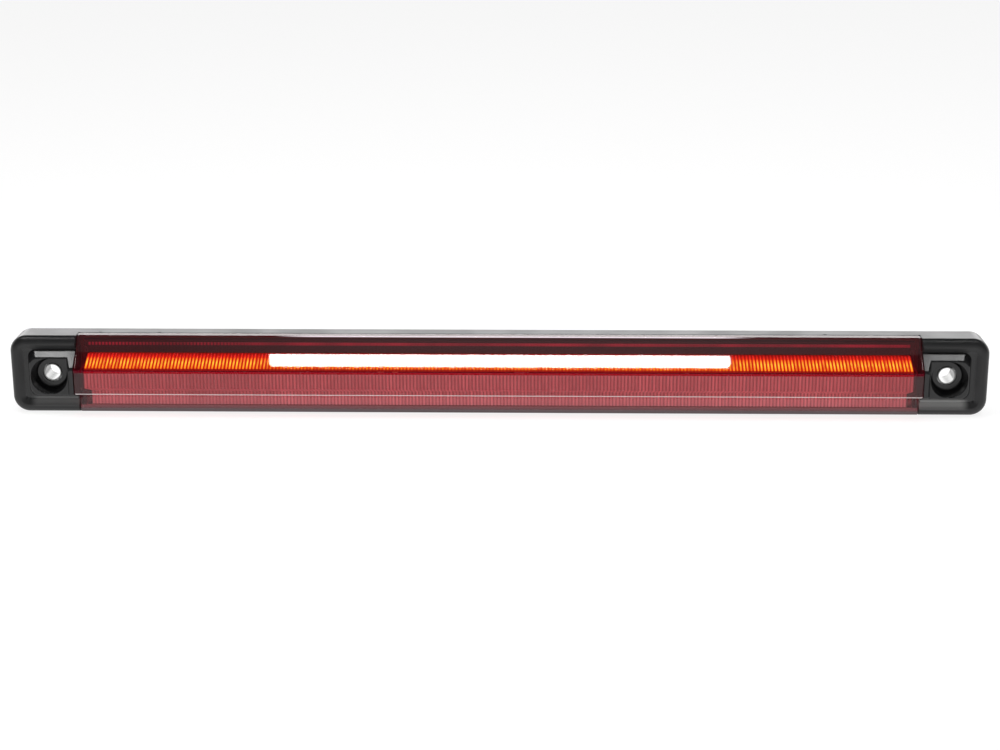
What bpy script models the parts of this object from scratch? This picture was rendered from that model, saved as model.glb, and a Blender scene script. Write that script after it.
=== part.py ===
"""A third brake light: a long black housing with a screw ear at each end, and a red lens over a lit bar.

The origin is the centre of the rear mounting face. +X runs along the light, it shines towards -Y, and
+Z is up. Lengths are in millimetres here and become metres in make_mesh. A section is drawn as
(forward, down): forward of the housing's shoulder, and down from its top.
"""

import math

import bmesh
import bpy

# Driving dimensions, in millimetres.
LENGTH = 400.0
HEIGHT = 32.4
SHOULDER = 11.0  # from the rear face to the shoulder, where the lens and the rim start to lean forward
CORNER = 6.7  # the housing's corners, seen from the front
GAP = 0.3  # between two pieces that touch on the real object
WALL = 2.0
OVERCUT = 1.0  # how far a cutter runs past the face it opens

# The rim that runs round each end.
RIM_FILLET = 3.0
RIM_CREST_END = 3.4  # from the outside
RIM_FLOOR_START = 6.0
RIM_FLOOR = 1.8  # forward of the shoulder
LEAST_CORNER = 1.4  # however far the outline moves in

# The stepped front that the lens and the ends share.
LEAN = (3.0, 6.5)  # foot of the upper band
SLANT = (9.3, 11.9)  # foot of the slanted face, which holds the lit bar
SLANT_ROUND = 2.0
CHIN = (9.3, 22.6)  # foot of the upright face
BAND = (0.9, 26.0)  # top of the lower band

# The lens.
LENS_HALF = 172.2
LENS_NOSE_HALF = 172.5  # where it stands forward of the rim
LENS_NOSE_START = 1.2  # forward of the shoulder
LENS_SKIRT = 3.0  # how far it wraps back over the housing
LENS_EDGES = (0.0, 0.6, 2.0, SLANT_ROUND, 0.6, 1.0, 0.6, 0.0)  # radii of its front edges, from the top
LENS_NOSE_TOP = 2.6  # where its longer part starts, down from the top
SEAL_INSET = 0.5

# The ends.
SCREW_X = 183.6
PAD_FRONT = 5.1
PAD_OUT = 191.5
PAD_IN = 176.0
PAD_DRAFT = 0.35
PAD_CORNER = 3.5
PAD_BACK = 0.4  # its root inside the housing
PAD_INSET = 0.1  # it is this much slimmer than the strip, above and below
STRIP_CORNER = 0.8
STRIP_BACK = 0.2
END_OVERLAP = 2.0  # how far the pad and the strip reach in, before the lens's place is cut
DISH_MOUTH = 7.55  # radii
DISH_FLOOR_RADIUS = 6.2
DISH_FLOOR = -1.2  # forward of the shoulder
SLEEVE_OUTER = 3.7
SLEEVE_BORE = 3.2
SLEEVE_EDGE = 0.15  # chamfer on its front rim
SLEEVE_PROUD = 0.2  # of the dish floor
POCKET_HALF = 7.6  # the hollow behind each ear
POCKET_TUBE = 5.6  # radius of the tube left standing in it
POCKET_FRONT = -3.6
POCKET_CORNER = 2.0

# The channel and the spigot that the lens fits over.
STEP = -LENS_SKIRT - 1.4
SPIGOT_THICK = 1.5
SPIGOT_FRONT = -1.6
BACK_WALL = 2.0
POST_RADIUS = 2.7
POST_HOLE = 1.45
POST_END = 1.2  # blind end of its hole, from the rear face

# The lit bar and what stands behind the lens.
INSERT_HALF = 168.0
GUIDE_REAR = -2.2
GUIDE_FRONT = 5.7
GUIDE_TOP = 8.0
GUIDE_FOOT = 13.4
PANEL_FRONT = 6.7
PANEL_THICK = 1.2
PANEL_FOOT = 29.9
PANEL_GAP = 0.5
GUIDE_SLANT_START = 0.2  # forward of the shoulder
SHIELD_SECTION = ((-0.95, 4.1), (0.2, 6.6), (0.2, 7.0), (-0.9, 7.1), (-2.1, 4.1))

# The circuit board.
BOARD_FRONT = -4.0
BOARD_THICK = 1.6
BOARD_HALF = 164.0
BOARD_TOP = 6.6
BOARD_FOOT = 25.6
BOARD_CORNER = 1.5
BOARD_HOLE = 1.5
LED_COUNT = 12
LED_PITCH = 16.0
LED_DOWN = 10.8
LED_SIZE = (3.5, 2.8, 0.8)  # along, across and off the board
PART_DOWN = 18.0
RESISTORS = (-30.0, -20.0, 20.0, 30.0)
RESISTOR_SIZE = (6.4, 3.2, 0.6)
DIODE_X = -60.0
DIODE_SIZE = (4.3, 2.6, 2.0)
CHIP_X = 0.0
CHIP_SIZE = (5.0, 4.0, 1.5)
PACKAGE_DRAW = 0.12  # how far a package's front edges draw in, of its smaller side
PACKAGE_SHOULDER = 0.6
CAN_X = 10.0
CAN_DOWN = 17.2
CAN_RADIUS = 3.1
CAN_NECK = 2.8
# The capacitor's can: height off the board, and 1 where it is full and 0 where it is drawn in.
CAN_LEVELS = ((0.0, 1), (0.8, 1), (1.1, 0), (1.4, 1), (4.9, 1), (5.2, 0))
BOARD_SCREWS = (-150.0, -78.0, 78.0, 150.0)
SCREW_DOWN = 18.6
SHANK_RADIUS = 1.15
SHANK_END = 1.6  # from the rear face
HEAD_RADIUS = 2.3
HEAD_CROWN = 1.7
HEAD_SIDE = 0.9
HEAD_HEIGHT = 1.5
SLOT_HALF = 0.3
SLOT_REACH = 1.3
SLOT_FLOOR = 0.7

# The back.
GASKET_INSET = 2.0
GASKET_WIDTH = 3.0
GASKET_DEPTH = 0.7
GASKET_PROUD = 1.0
SOCKET_X = -45.0
SOCKET_LENGTH = 11.2
SOCKET_BODY = (8.0, 4.9, 1.2)  # half width, half height and corner
SOCKET_FLANGE = (10.5, 6.6, 1.6)
FLANGE_THICK = 1.5
SOCKET_PLUG = (6.0, 3.25, 0.6)
PLUG_LENGTH = 3.6
SOCKET_MOUTH = (6.6, 3.5, 0.8)
SOCKET_BASE = 2.4
TERMINAL_SPACING = 6.0
TERMINAL_HALF = (1.25, 0.4)
TERMINAL_TIP = (0.8, 0.2)
TERMINAL_SLOT = (1.6, 0.7)
TERMINAL_LENGTH = 6.6
TIP_LENGTH = 0.8
PIN_PROUD = 0.4
VENT_X = 45.0
VENT_RADIUS = 4.5
VENT_CROWN = 3.6
VENT_STEM = 2.0
VENT_STEM_LENGTH = 3.2
VENT_SIDE = 0.9
VENT_HEIGHT = 1.6
MARK_RADIUS = 2.5  # the round marks of the mould's ejector pins
MARK_DEPTH = 0.2
MARKS_X = (-150.0, -100.0, -10.0, 10.0, 100.0, 150.0)
MARKS_Z = 1.0

CORNER_STEPS = 6
FILLET_STEPS = 4
SMALL_STEPS = 3
ROUND_STEPS = 32

COLOURS = {
    "black_plastic": ((0.018, 0.018, 0.020), 0.42, 0.0),
    "red_lens": ((0.42, 0.012, 0.020), 0.08, 0.0),
    "seal_rubber": ((0.030, 0.012, 0.014), 0.70, 0.0),
    "clear_guide": ((0.95, 0.86, 0.74), 0.15, 0.0),
    "reflector_plastic": ((0.55, 0.40, 0.40), 0.35, 0.0),
    "board_green": ((0.015, 0.10, 0.035), 0.45, 0.0),
    "led_white": ((0.90, 0.88, 0.74), 0.35, 0.0),
    "chip_black": ((0.020, 0.020, 0.022), 0.55, 0.0),
    "can_aluminium": ((0.75, 0.76, 0.78), 0.30, 1.0),
    "screw_steel": ((0.62, 0.62, 0.64), 0.28, 1.0),
    "sleeve_steel": ((0.80, 0.80, 0.80), 0.22, 1.0),
    "terminal_brass": ((0.78, 0.60, 0.28), 0.30, 1.0),
    "foam": ((0.030, 0.030, 0.032), 0.95, 0.0),
}


def clear_scene():
    """Removes whatever the file holds."""
    for obj in list(bpy.data.objects):
        bpy.data.objects.remove(obj)


def material(name):
    """The Principled material of that name, made once."""
    found = bpy.data.materials.get(name)
    if found:
        return found
    colour, roughness, metallic = COLOURS[name]
    made = bpy.data.materials.new(name)
    made.use_nodes = True
    shader = made.node_tree.nodes["Principled BSDF"]
    shader.inputs["Base Color"].default_value = (*colour, 1.0)
    shader.inputs["Roughness"].default_value = roughness
    shader.inputs["Metallic"].default_value = metallic
    made.diffuse_color = (*colour, 1.0)
    return made


# Placing a section


def y_at(forward):
    """Y of a plane that lies forward of the shoulder."""
    return -(SHOULDER + forward)


def z_at(down):
    """Z of a plane that lies below the top."""
    return HEIGHT / 2 - down


def top_line(forward):
    """How far down the slanted face lies."""
    return LEAN[1] + (forward - LEAN[0]) * (SLANT[1] - LEAN[1]) / (SLANT[0] - LEAN[0])


def foot_line(forward):
    """How far down the underside of the nose lies."""
    return CHIN[1] + (CHIN[0] - forward) * (BAND[1] - CHIN[1]) / (CHIN[0] - BAND[0])


# Outlines


def rounded(points, radius, steps):
    """The outline through points, its corners rounded by one radius or by one for each point."""
    radii = [radius] * len(points) if isinstance(radius, (int, float)) else radius
    made = []
    for i, (x, y) in enumerate(points):
        r = radii[i]
        if r <= 0:
            made.append((x, y))
            continue
        before, after = points[i - 1], points[(i + 1) % len(points)]
        ax, ay = before[0] - x, before[1] - y
        bx, by = after[0] - x, after[1] - y
        a, b = math.hypot(ax, ay), math.hypot(bx, by)
        ax, ay, bx, by = ax / a, ay / a, bx / b, by / b
        half = math.acos(max(-1.0, min(1.0, ax * bx + ay * by))) / 2
        reach = r / math.tan(half)
        mx, my = ax + bx, ay + by
        m = math.hypot(mx, my)
        cx, cy = x + mx / m * r / math.sin(half), y + my / m * r / math.sin(half)
        start = math.atan2(y + ay * reach - cy, x + ax * reach - cx)
        end = math.atan2(y + by * reach - cy, x + bx * reach - cx)
        turn = (end - start + math.pi) % (2 * math.pi) - math.pi
        for k in range(steps + 1):
            angle = start + turn * k / steps
            made.append((cx + r * math.cos(angle), cy + r * math.sin(angle)))
    return made


def box_outline(x0, x1, z0, z1, radius=0.0, steps=CORNER_STEPS):
    """A rectangle, with rounded corners if radius says so."""
    return rounded([(x0, z0), (x1, z0), (x1, z1), (x0, z1)], radius, steps)


def frame_outline(inset):
    """The housing's outline seen from the front, moved in by inset."""
    half_x, half_z = LENGTH / 2 - inset, HEIGHT / 2 - inset
    radius = max(CORNER - inset, LEAST_CORNER)
    return box_outline(-half_x, half_x, -half_z, half_z, radius)


def circle(x, z, radius, steps=ROUND_STEPS):
    """A circle as seen from the front."""
    turns = [2 * math.pi * k / steps for k in range(steps)]
    return [(x + radius * math.cos(t), z + radius * math.sin(t)) for t in turns]


def offset(points, distance):
    """An open line moved to its left by distance, corners kept sharp."""
    shifted = []
    for (x0, y0), (x1, y1) in zip(points, points[1:]):
        length = math.hypot(x1 - x0, y1 - y0)
        nx, ny = -(y1 - y0) / length, (x1 - x0) / length
        shifted.append(((x0 + nx * distance, y0 + ny * distance), (x1 - x0, y1 - y0)))
    made = [shifted[0][0]]
    for (p, d), (q, e) in zip(shifted, shifted[1:]):
        cross = d[0] * e[1] - d[1] * e[0]
        t = ((q[0] - p[0]) * e[1] - (q[1] - p[1]) * e[0]) / cross
        made.append((p[0] + d[0] * t, p[1] + d[1] * t))
    p, d = shifted[-1]
    made.append((p[0] + d[0], p[1] + d[1]))
    return made


# Solids


def make_mesh(name, bm):
    """Closes the work on bm: metres, faces out."""
    bmesh.ops.recalc_face_normals(bm, faces=bm.faces)
    bmesh.ops.scale(bm, vec=(0.001, 0.001, 0.001), verts=bm.verts)
    mesh = bpy.data.meshes.new(name)
    bm.to_mesh(mesh)
    bm.free()
    return mesh


def make_object(name, bm, finish=None):
    """A shown piece when it has a finish, and otherwise a hidden helper for a Boolean."""
    obj = bpy.data.objects.new(name, make_mesh(name, bm))
    bpy.context.scene.collection.objects.link(obj)
    if finish:
        obj.data.materials.append(material(finish))
        obj.data.shade_smooth()
        obj.data.set_sharp_from_angle(angle=math.radians(28))
    else:
        obj.hide_render = True
        obj.display_type = "WIRE"
    return obj


def add_loft(bm, rings):
    """A closed solid through rings of points, each with as many points as the last."""
    made = [[bm.verts.new(p) for p in ring] for ring in rings]
    for a, b in zip(made, made[1:]):
        for i in range(len(a)):
            j = (i + 1) % len(a)
            bm.faces.new((a[i], a[j], b[j], b[i]))
    bm.faces.new(made[0])
    bm.faces.new(made[-1])


def add_band(bm, rings):
    """A closed solid like a tube's wall: each ring joins the next, and the last joins the first."""
    made = [[bm.verts.new(p) for p in ring] for ring in rings]
    for a, b in zip(made, made[1:] + made[:1]):
        for i in range(len(a)):
            j = (i + 1) % len(a)
            bm.faces.new((a[i], a[j], b[j], b[i]))


def band_y(bm, *levels):
    """A band round the Y direction. Each level is (forward, outline), the outline in X and Z."""
    add_band(bm, [[(x, y_at(forward), z) for x, z in outline] for forward, outline in levels])


def loft_y(bm, *levels):
    """A loft along Y. Each level is (forward, outline), the outline in X and Z."""
    add_loft(bm, [[(x, y_at(forward), z) for x, z in outline] for forward, outline in levels])


def loft_x(bm, x0, x1, section):
    """A section of (forward, down) points drawn out along X."""
    add_loft(bm, [[(x, y_at(f), z_at(d)) for f, d in section] for x in (x0, x1)])


def add_box(bm, x0, x1, f0, f1, d0, d1):
    """A block between two values each of X, forward and down."""
    loft_x(bm, x0, x1, [(f0, d0), (f1, d0), (f1, d1), (f0, d1)])


def solid(name, finish, build):
    """One object from a function that fills a bmesh."""
    bm = bmesh.new()
    build(bm)
    return make_object(name, bm, finish)


def boolean(obj, operation, helper):
    """Adds an exact Boolean with a hidden helper."""
    modifier = obj.modifiers.new(helper.name, "BOOLEAN")
    modifier.operation = operation
    modifier.solver = "EXACT"
    modifier.object = helper


def cut(obj, name, build):
    boolean(obj, "DIFFERENCE", solid(name, None, build))


def add(obj, name, build):
    boolean(obj, "UNION", solid(name, None, build))


# The housing


def fill_body(bm):
    """The bar with its rim: up the outside, round the fillet, over the crest and down inside."""
    levels = [(-SHOULDER, frame_outline(0.0)), (0.0, frame_outline(0.0))]
    for k in range(1, FILLET_STEPS + 1):
        angle = math.pi / 2 * k / FILLET_STEPS
        inset = RIM_FILLET * (1 - math.cos(angle))
        levels.append((RIM_FILLET * math.sin(angle), frame_outline(inset)))
    levels.append((RIM_FILLET, frame_outline(RIM_CREST_END)))
    levels.append((RIM_FLOOR, frame_outline(RIM_FLOOR_START)))
    loft_y(bm, *levels)


def pad_ring(forward, side, inner):
    """Outline of the screw pad at one depth."""
    out = PAD_OUT + (PAD_FRONT - forward) * PAD_DRAFT
    z0, z1 = z_at(foot_line(forward) - PAD_INSET), z_at(top_line(forward) + PAD_INSET)
    points = [(side * inner, z0), (side * out, z0), (side * out, z1), (side * inner, z1)]
    return rounded(points, [0.0, PAD_CORNER, PAD_CORNER, 0.0], CORNER_STEPS)


def strip_levels():
    """(forward, down) along the top of the strip beside the lens: a slanted face with a round foot."""
    turn = math.atan2(SLANT[0] - LEAN[0], SLANT[1] - LEAN[1])
    foot = SLANT[1] + SLANT_ROUND * math.tan(turn / 2)
    levels = [(STRIP_BACK, top_line(STRIP_BACK))]
    for k in range(FILLET_STEPS, -1, -1):
        angle = turn * k / FILLET_STEPS
        forward = SLANT[0] - SLANT_ROUND * (1 - math.cos(angle))
        levels.append((forward, foot - SLANT_ROUND * math.sin(angle)))
    return levels


def strip_ring(forward, top, side, inner):
    """Outline of the strip at one depth."""
    out = PAD_IN + (PAD_FRONT - forward) * PAD_DRAFT
    z0, z1 = z_at(foot_line(forward)), z_at(top)
    points = [(side * inner, z0), (side * out, z0), (side * out, z1), (side * inner, z1)]
    return rounded(points, [0.0, STRIP_CORNER, STRIP_CORNER, 0.0], SMALL_STEPS)


def fill_pad(side):
    inner = LENS_HALF - END_OVERLAP
    return lambda bm: loft_y(bm, *[(f, pad_ring(f, side, inner)) for f in (PAD_BACK, PAD_FRONT)])


def fill_strip(side):
    inner = LENS_HALF - END_OVERLAP + GAP
    return lambda bm: loft_y(bm, *[(f, strip_ring(f, top, side, inner)) for f, top in strip_levels()])


def fill_dish(side):
    """The counterbore: a wide mouth that narrows to a flat floor."""
    slope = (DISH_MOUTH - DISH_FLOOR_RADIUS) / (PAD_FRONT - DISH_FLOOR)
    front = PAD_FRONT + OVERCUT
    return lambda bm: loft_y(
        bm,
        (DISH_FLOOR, circle(side * SCREW_X, 0.0, DISH_FLOOR_RADIUS)),
        (front, circle(side * SCREW_X, 0.0, DISH_MOUTH + slope * OVERCUT)),
    )


def fill_screw_hole(side):
    outline = circle(side * SCREW_X, 0.0, SLEEVE_OUTER + GAP)
    return lambda bm: loft_y(bm, (-SHOULDER - OVERCUT, outline), (DISH_FLOOR + OVERCUT, outline))


def fill_lens_place(bm):
    half = LENS_HALF + GAP
    add_box(bm, -half, half, STEP, SLANT[0] + OVERCUT, -OVERCUT, HEIGHT + OVERCUT)


def fill_nose_place(bm):
    half = LENS_NOSE_HALF + GAP
    add_box(bm, -half, half, BAND[0], SLANT[0] + 2 * OVERCUT, LENS_NOSE_TOP, BAND[1] + 2 * GAP)


def spigot_size():
    """Half length, top and foot of the outside of the spigot."""
    return LENS_HALF - WALL - GAP, WALL + GAP, HEIGHT - WALL - GAP


def fill_spigot(bm):
    half, top, foot = spigot_size()
    add_box(bm, -half, half, -SHOULDER + BACK_WALL / 2, SPIGOT_FRONT, top, foot)


def fill_tub(bm):
    half, top, foot = spigot_size()
    half, top, foot = half - SPIGOT_THICK, top + SPIGOT_THICK, foot - SPIGOT_THICK
    add_box(bm, -half, half, -SHOULDER + BACK_WALL, SLANT[0], top, foot)


def fill_panel_way(bm):
    """Where the foot of the reflector passes in front of the spigot's lower wall."""
    half = INSERT_HALF + GAP
    back, front = panel_low_front() - PANEL_THICK - GAP, SPIGOT_FRONT + OVERCUT
    _, _, foot = spigot_size()
    add_box(bm, -half, half, back, front, foot - SPIGOT_THICK - OVERCUT, foot + GAP)


def fill_posts(bm):
    for x in BOARD_SCREWS:
        outline = circle(x, z_at(SCREW_DOWN), POST_RADIUS, ROUND_STEPS // 2)
        loft_y(bm, (-SHOULDER + BACK_WALL / 2, outline), (BOARD_FRONT - BOARD_THICK - GAP, outline))


def fill_post_holes(bm):
    for x in BOARD_SCREWS:
        outline = circle(x, z_at(SCREW_DOWN), POST_HOLE, ROUND_STEPS // 2)
        loft_y(bm, (-SHOULDER + POST_END, outline), (BOARD_FRONT, outline))


def add_gasket_ring(bm, inset, width, back, front):
    """A closed band that follows the housing's outline, inset from it."""
    outer, inner = frame_outline(inset), frame_outline(inset + width)
    band_y(bm, (back, outer), (front, outer), (front, inner), (back, inner))


def fill_gasket_groove(bm):
    back, front = -SHOULDER - OVERCUT, -SHOULDER + GASKET_DEPTH + GAP
    add_gasket_ring(bm, GASKET_INSET - GAP, GASKET_WIDTH + 2 * GAP, back, front)


def fill_ear_pocket(side):
    """The hollow behind each ear, round the tube that the sleeve sits in."""
    middle, back, front = side * SCREW_X, -SHOULDER - OVERCUT, POCKET_FRONT
    low, high = middle - POCKET_HALF, middle + POCKET_HALF
    pocket = box_outline(low, high, -POCKET_HALF, POCKET_HALF, POCKET_CORNER)
    tube = circle(middle, 0.0, POCKET_TUBE, len(pocket))
    # Both outlines start at the same corner, so that their points pair up.
    start = min(range(len(tube)), key=lambda i: tube[i][0] + tube[i][1])
    tube = tube[start:] + tube[:start]
    return lambda bm: band_y(bm, (back, pocket), (front, pocket), (front, tube), (back, tube))


def socket_outline(half_x, half_z, corner):
    """A rounded rectangle round the middle of the rear socket."""
    return box_outline(SOCKET_X - half_x, SOCKET_X + half_x, -half_z, half_z, corner, SMALL_STEPS)


def fill_back_openings(bm):
    """The socket's window and the breather hole."""
    half_x, half_z, corner = SOCKET_PLUG
    window = socket_outline(half_x + GAP, half_z + GAP, corner + GAP)
    breather = circle(VENT_X, 0.0, VENT_STEM + GAP, ROUND_STEPS // 2)
    for outline in (window, breather):
        loft_y(bm, (-SHOULDER - OVERCUT, outline), (-SHOULDER + BACK_WALL + OVERCUT, outline))


def fill_marks(bm):
    for x in MARKS_X:
        outline = circle(x, MARKS_Z, MARK_RADIUS, ROUND_STEPS // 2)
        loft_y(bm, (-SHOULDER - OVERCUT, outline), (-SHOULDER + MARK_DEPTH, outline))


def make_housing():
    housing = solid("housing", "black_plastic", fill_body)
    for side, word in ((-1, "left"), (1, "right")):
        add(housing, word + "_pad_shape", fill_pad(side))
        add(housing, word + "_strip_shape", fill_strip(side))
        cut(housing, word + "_dish_cutter", fill_dish(side))
        cut(housing, word + "_hole_cutter", fill_screw_hole(side))
        cut(housing, word + "_pocket_cutter", fill_ear_pocket(side))
    cut(housing, "lens_place_cutter", fill_lens_place)
    cut(housing, "nose_place_cutter", fill_nose_place)
    add(housing, "spigot_shape", fill_spigot)
    cut(housing, "tub_cutter", fill_tub)
    cut(housing, "panel_way_cutter", fill_panel_way)
    add(housing, "post_shapes", fill_posts)
    cut(housing, "post_hole_cutters", fill_post_holes)
    cut(housing, "gasket_groove_cutter", fill_gasket_groove)
    cut(housing, "back_opening_cutters", fill_back_openings)
    cut(housing, "mark_cutters", fill_marks)


# The lens and its seal


def lens_line():
    """The front of the lens in section, from the top's back edge to the bottom's back edge."""
    return [
        (-LENS_SKIRT, 0.0),
        (0.0, 0.0),
        LEAN,
        SLANT,
        CHIN,
        BAND,
        (BAND[0], HEIGHT),
        (-LENS_SKIRT, HEIGHT),
    ]


def fill_lens_outer(bm):
    section = rounded(lens_line(), LENS_EDGES, SMALL_STEPS)
    loft_x(bm, -LENS_NOSE_HALF, LENS_NOSE_HALF, section)


def fill_lens_ends(bm):
    """What is taken off each end, so that only the nose reaches its full length."""
    for side in (-1, 1):
        x0, x1 = sorted((side * LENS_HALF, side * (LENS_NOSE_HALF + OVERCUT)))
        add_box(bm, x0, x1, -LENS_SKIRT - OVERCUT, LENS_NOSE_START, -OVERCUT, HEIGHT + OVERCUT)


def fill_lens_hollow(bm):
    inner = offset(lens_line(), WALL)
    inner[0] = (inner[0][0] - OVERCUT, inner[0][1])
    inner[-1] = (inner[-1][0] - OVERCUT, inner[-1][1])
    loft_x(bm, -LENS_HALF + WALL, LENS_HALF - WALL, inner)


def make_lens():
    lens = solid("lens", "red_lens", fill_lens_outer)
    cut(lens, "lens_end_cutter", fill_lens_ends)
    cut(lens, "lens_hollow_cutter", fill_lens_hollow)


def make_lens_seal():
    """A square rubber ring behind the lens's skirt."""

    def build(bm):
        half, low = LENS_HALF - GAP, SEAL_INSET
        back, front = STEP + GAP, -LENS_SKIRT - GAP
        inner_half, inner_top, _ = spigot_size()
        inner_half, inner_top = inner_half + GAP, inner_top - GAP
        outer = box_outline(-half, half, z_at(HEIGHT - low), z_at(low), 2 * GAP, SMALL_STEPS)
        inner = box_outline(-inner_half, inner_half, -z_at(inner_top), z_at(inner_top), GAP, SMALL_STEPS)
        band_y(bm, (back, outer), (front, outer), (front, inner), (back, inner))

    solid("lens_seal", "seal_rubber", build)


# What stands behind the lens


def slant_inside(forward, clearance):
    """How far down the lens's slanted face lies on its inside, and clearance more, at that depth."""
    run, drop = SLANT[0] - LEAN[0], SLANT[1] - LEAN[1]
    return top_line(forward) + (WALL + clearance) * math.hypot(run, drop) / run


def make_light_guide():
    """The clear bar: LED light enters its back and leaves by its slanted face."""
    section = [
        (GUIDE_REAR, GUIDE_TOP),
        (GUIDE_SLANT_START, slant_inside(GUIDE_SLANT_START, 2 * GAP)),
        (GUIDE_FRONT, slant_inside(GUIDE_FRONT, 2 * GAP)),
        (GUIDE_FRONT, GUIDE_FOOT),
        (GUIDE_REAR, GUIDE_FOOT),
    ]
    solid("light_guide", "clear_guide", lambda bm: loft_x(bm, -INSERT_HALF, INSERT_HALF, section))


def make_light_shield():
    """The black strip that hides the gap above the light guide."""
    ends = -INSERT_HALF, INSERT_HALF
    solid("light_shield", "black_plastic", lambda bm: loft_x(bm, *ends, SHIELD_SECTION))


def foot_inside(forward, clearance):
    """How far down the lens's underside lies on its inside, less clearance, at that depth."""
    run, drop = CHIN[0] - BAND[0], BAND[1] - CHIN[1]
    return foot_line(forward) - (WALL + clearance) * math.hypot(run, drop) / run


def panel_low_front():
    """How far forward the reflector lies behind the lens's lower band."""
    return BAND[0] - WALL - PANEL_GAP


def make_reflector():
    """A bent panel: upright behind the lens's upright face, back under it, and down behind the band."""
    low = panel_low_front()
    line = [
        (PANEL_FRONT, GUIDE_FOOT + PANEL_GAP),
        (PANEL_FRONT, foot_inside(PANEL_FRONT, 2 * GAP)),
        (low, foot_inside(low, 2 * GAP)),
        (low, PANEL_FOOT),
    ]
    section = line + offset(line, PANEL_THICK)[::-1]
    solid("reflector", "reflector_plastic", lambda bm: loft_x(bm, -INSERT_HALF, INSERT_HALF, section))


# The circuit board and what is on it


def make_circuit_board():
    def build(bm):
        foot, top = z_at(BOARD_FOOT), z_at(BOARD_TOP)
        outline = box_outline(-BOARD_HALF, BOARD_HALF, foot, top, BOARD_CORNER, SMALL_STEPS)
        loft_y(bm, (BOARD_FRONT - BOARD_THICK, outline), (BOARD_FRONT, outline))

    def holes(bm):
        back, front = BOARD_FRONT - BOARD_THICK - OVERCUT, BOARD_FRONT + OVERCUT
        for x in BOARD_SCREWS:
            outline = circle(x, z_at(SCREW_DOWN), BOARD_HOLE, ROUND_STEPS // 2)
            loft_y(bm, (back, outline), (front, outline))
        for x in terminal_places():
            outline = terminal_outline(x, *TERMINAL_SLOT)
            loft_y(bm, (back, outline), (front, outline))

    board = solid("circuit_board", "board_green", build)
    cut(board, "board_hole_cutters", holes)


def make_on_board(name, finish, x, down, size):
    """A small block soldered to the front of the board, its front edges drawn in a little."""
    width, height, thick = size
    back = BOARD_FRONT + GAP
    draw = PACKAGE_DRAW * min(width, height)

    def outline(inset):
        half_x, half_z = width / 2 - inset, height / 2 - inset
        return box_outline(x - half_x, x + half_x, z_at(down) - half_z, z_at(down) + half_z)

    def build(bm):
        shoulder = back + thick * PACKAGE_SHOULDER
        loft_y(bm, (back, outline(0.0)), (shoulder, outline(0.0)), (back + thick, outline(draw)))

    solid(name, finish, build)


def make_leds():
    first = -LED_PITCH * (LED_COUNT - 1) / 2
    for i in range(LED_COUNT):
        x = first + LED_PITCH * i
        make_on_board(f"led_{i + 1:02d}", "led_white", x, LED_DOWN, LED_SIZE)


def make_electronics():
    for i, x in enumerate(RESISTORS):
        make_on_board(f"resistor_{i + 1}", "chip_black", x, PART_DOWN, RESISTOR_SIZE)
    make_on_board("reverse_diode", "chip_black", DIODE_X, PART_DOWN, DIODE_SIZE)
    make_on_board("driver_chip", "chip_black", CHIP_X, PART_DOWN, CHIP_SIZE)

    def build(bm):
        z = z_at(CAN_DOWN)
        rings = [circle(CAN_X, z, radius, 24) for radius in (CAN_NECK, CAN_RADIUS)]
        loft_y(bm, *[(BOARD_FRONT + GAP + height, rings[full]) for height, full in CAN_LEVELS])

    solid("capacitor", "can_aluminium", build)


def make_board_screws():
    """Pan-head screws with a cross slot, through the board into the housing's posts."""
    head = BOARD_FRONT + GAP

    def shape(x):
        levels = (
            (-SHOULDER + SHANK_END, SHANK_RADIUS),
            (head, SHANK_RADIUS),
            (head, HEAD_RADIUS),
            (head + HEAD_SIDE, HEAD_RADIUS),
            (head + HEAD_HEIGHT, HEAD_CROWN),
        )
        return lambda bm: loft_y(bm, *[(f, circle(x, z_at(SCREW_DOWN), r, 16)) for f, r in levels])

    def slot(x):
        z = z_at(SCREW_DOWN)
        arm = [(SLOT_HALF, SLOT_REACH), (-SLOT_HALF, SLOT_REACH), (-SLOT_HALF, SLOT_HALF)]
        cross = []
        for k in range(4):
            c, s = math.cos(k * math.pi / 2), math.sin(k * math.pi / 2)
            cross += [(x + a * c - b * s, z + a * s + b * c) for a, b in arm]
        return lambda bm: loft_y(bm, (head + SLOT_FLOOR, cross), (head + HEAD_HEIGHT + OVERCUT, cross))

    for i, x in enumerate(BOARD_SCREWS):
        screw = solid(f"board_screw_{i + 1}", "screw_steel", shape(x))
        cut(screw, f"slot_cutter_{i + 1}", slot(x))


# The back and the ends


def terminal_places():
    return SOCKET_X - TERMINAL_SPACING / 2, SOCKET_X + TERMINAL_SPACING / 2


def terminal_outline(x, half_x, half_z):
    return box_outline(x - half_x, x + half_x, -half_z, half_z)


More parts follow.
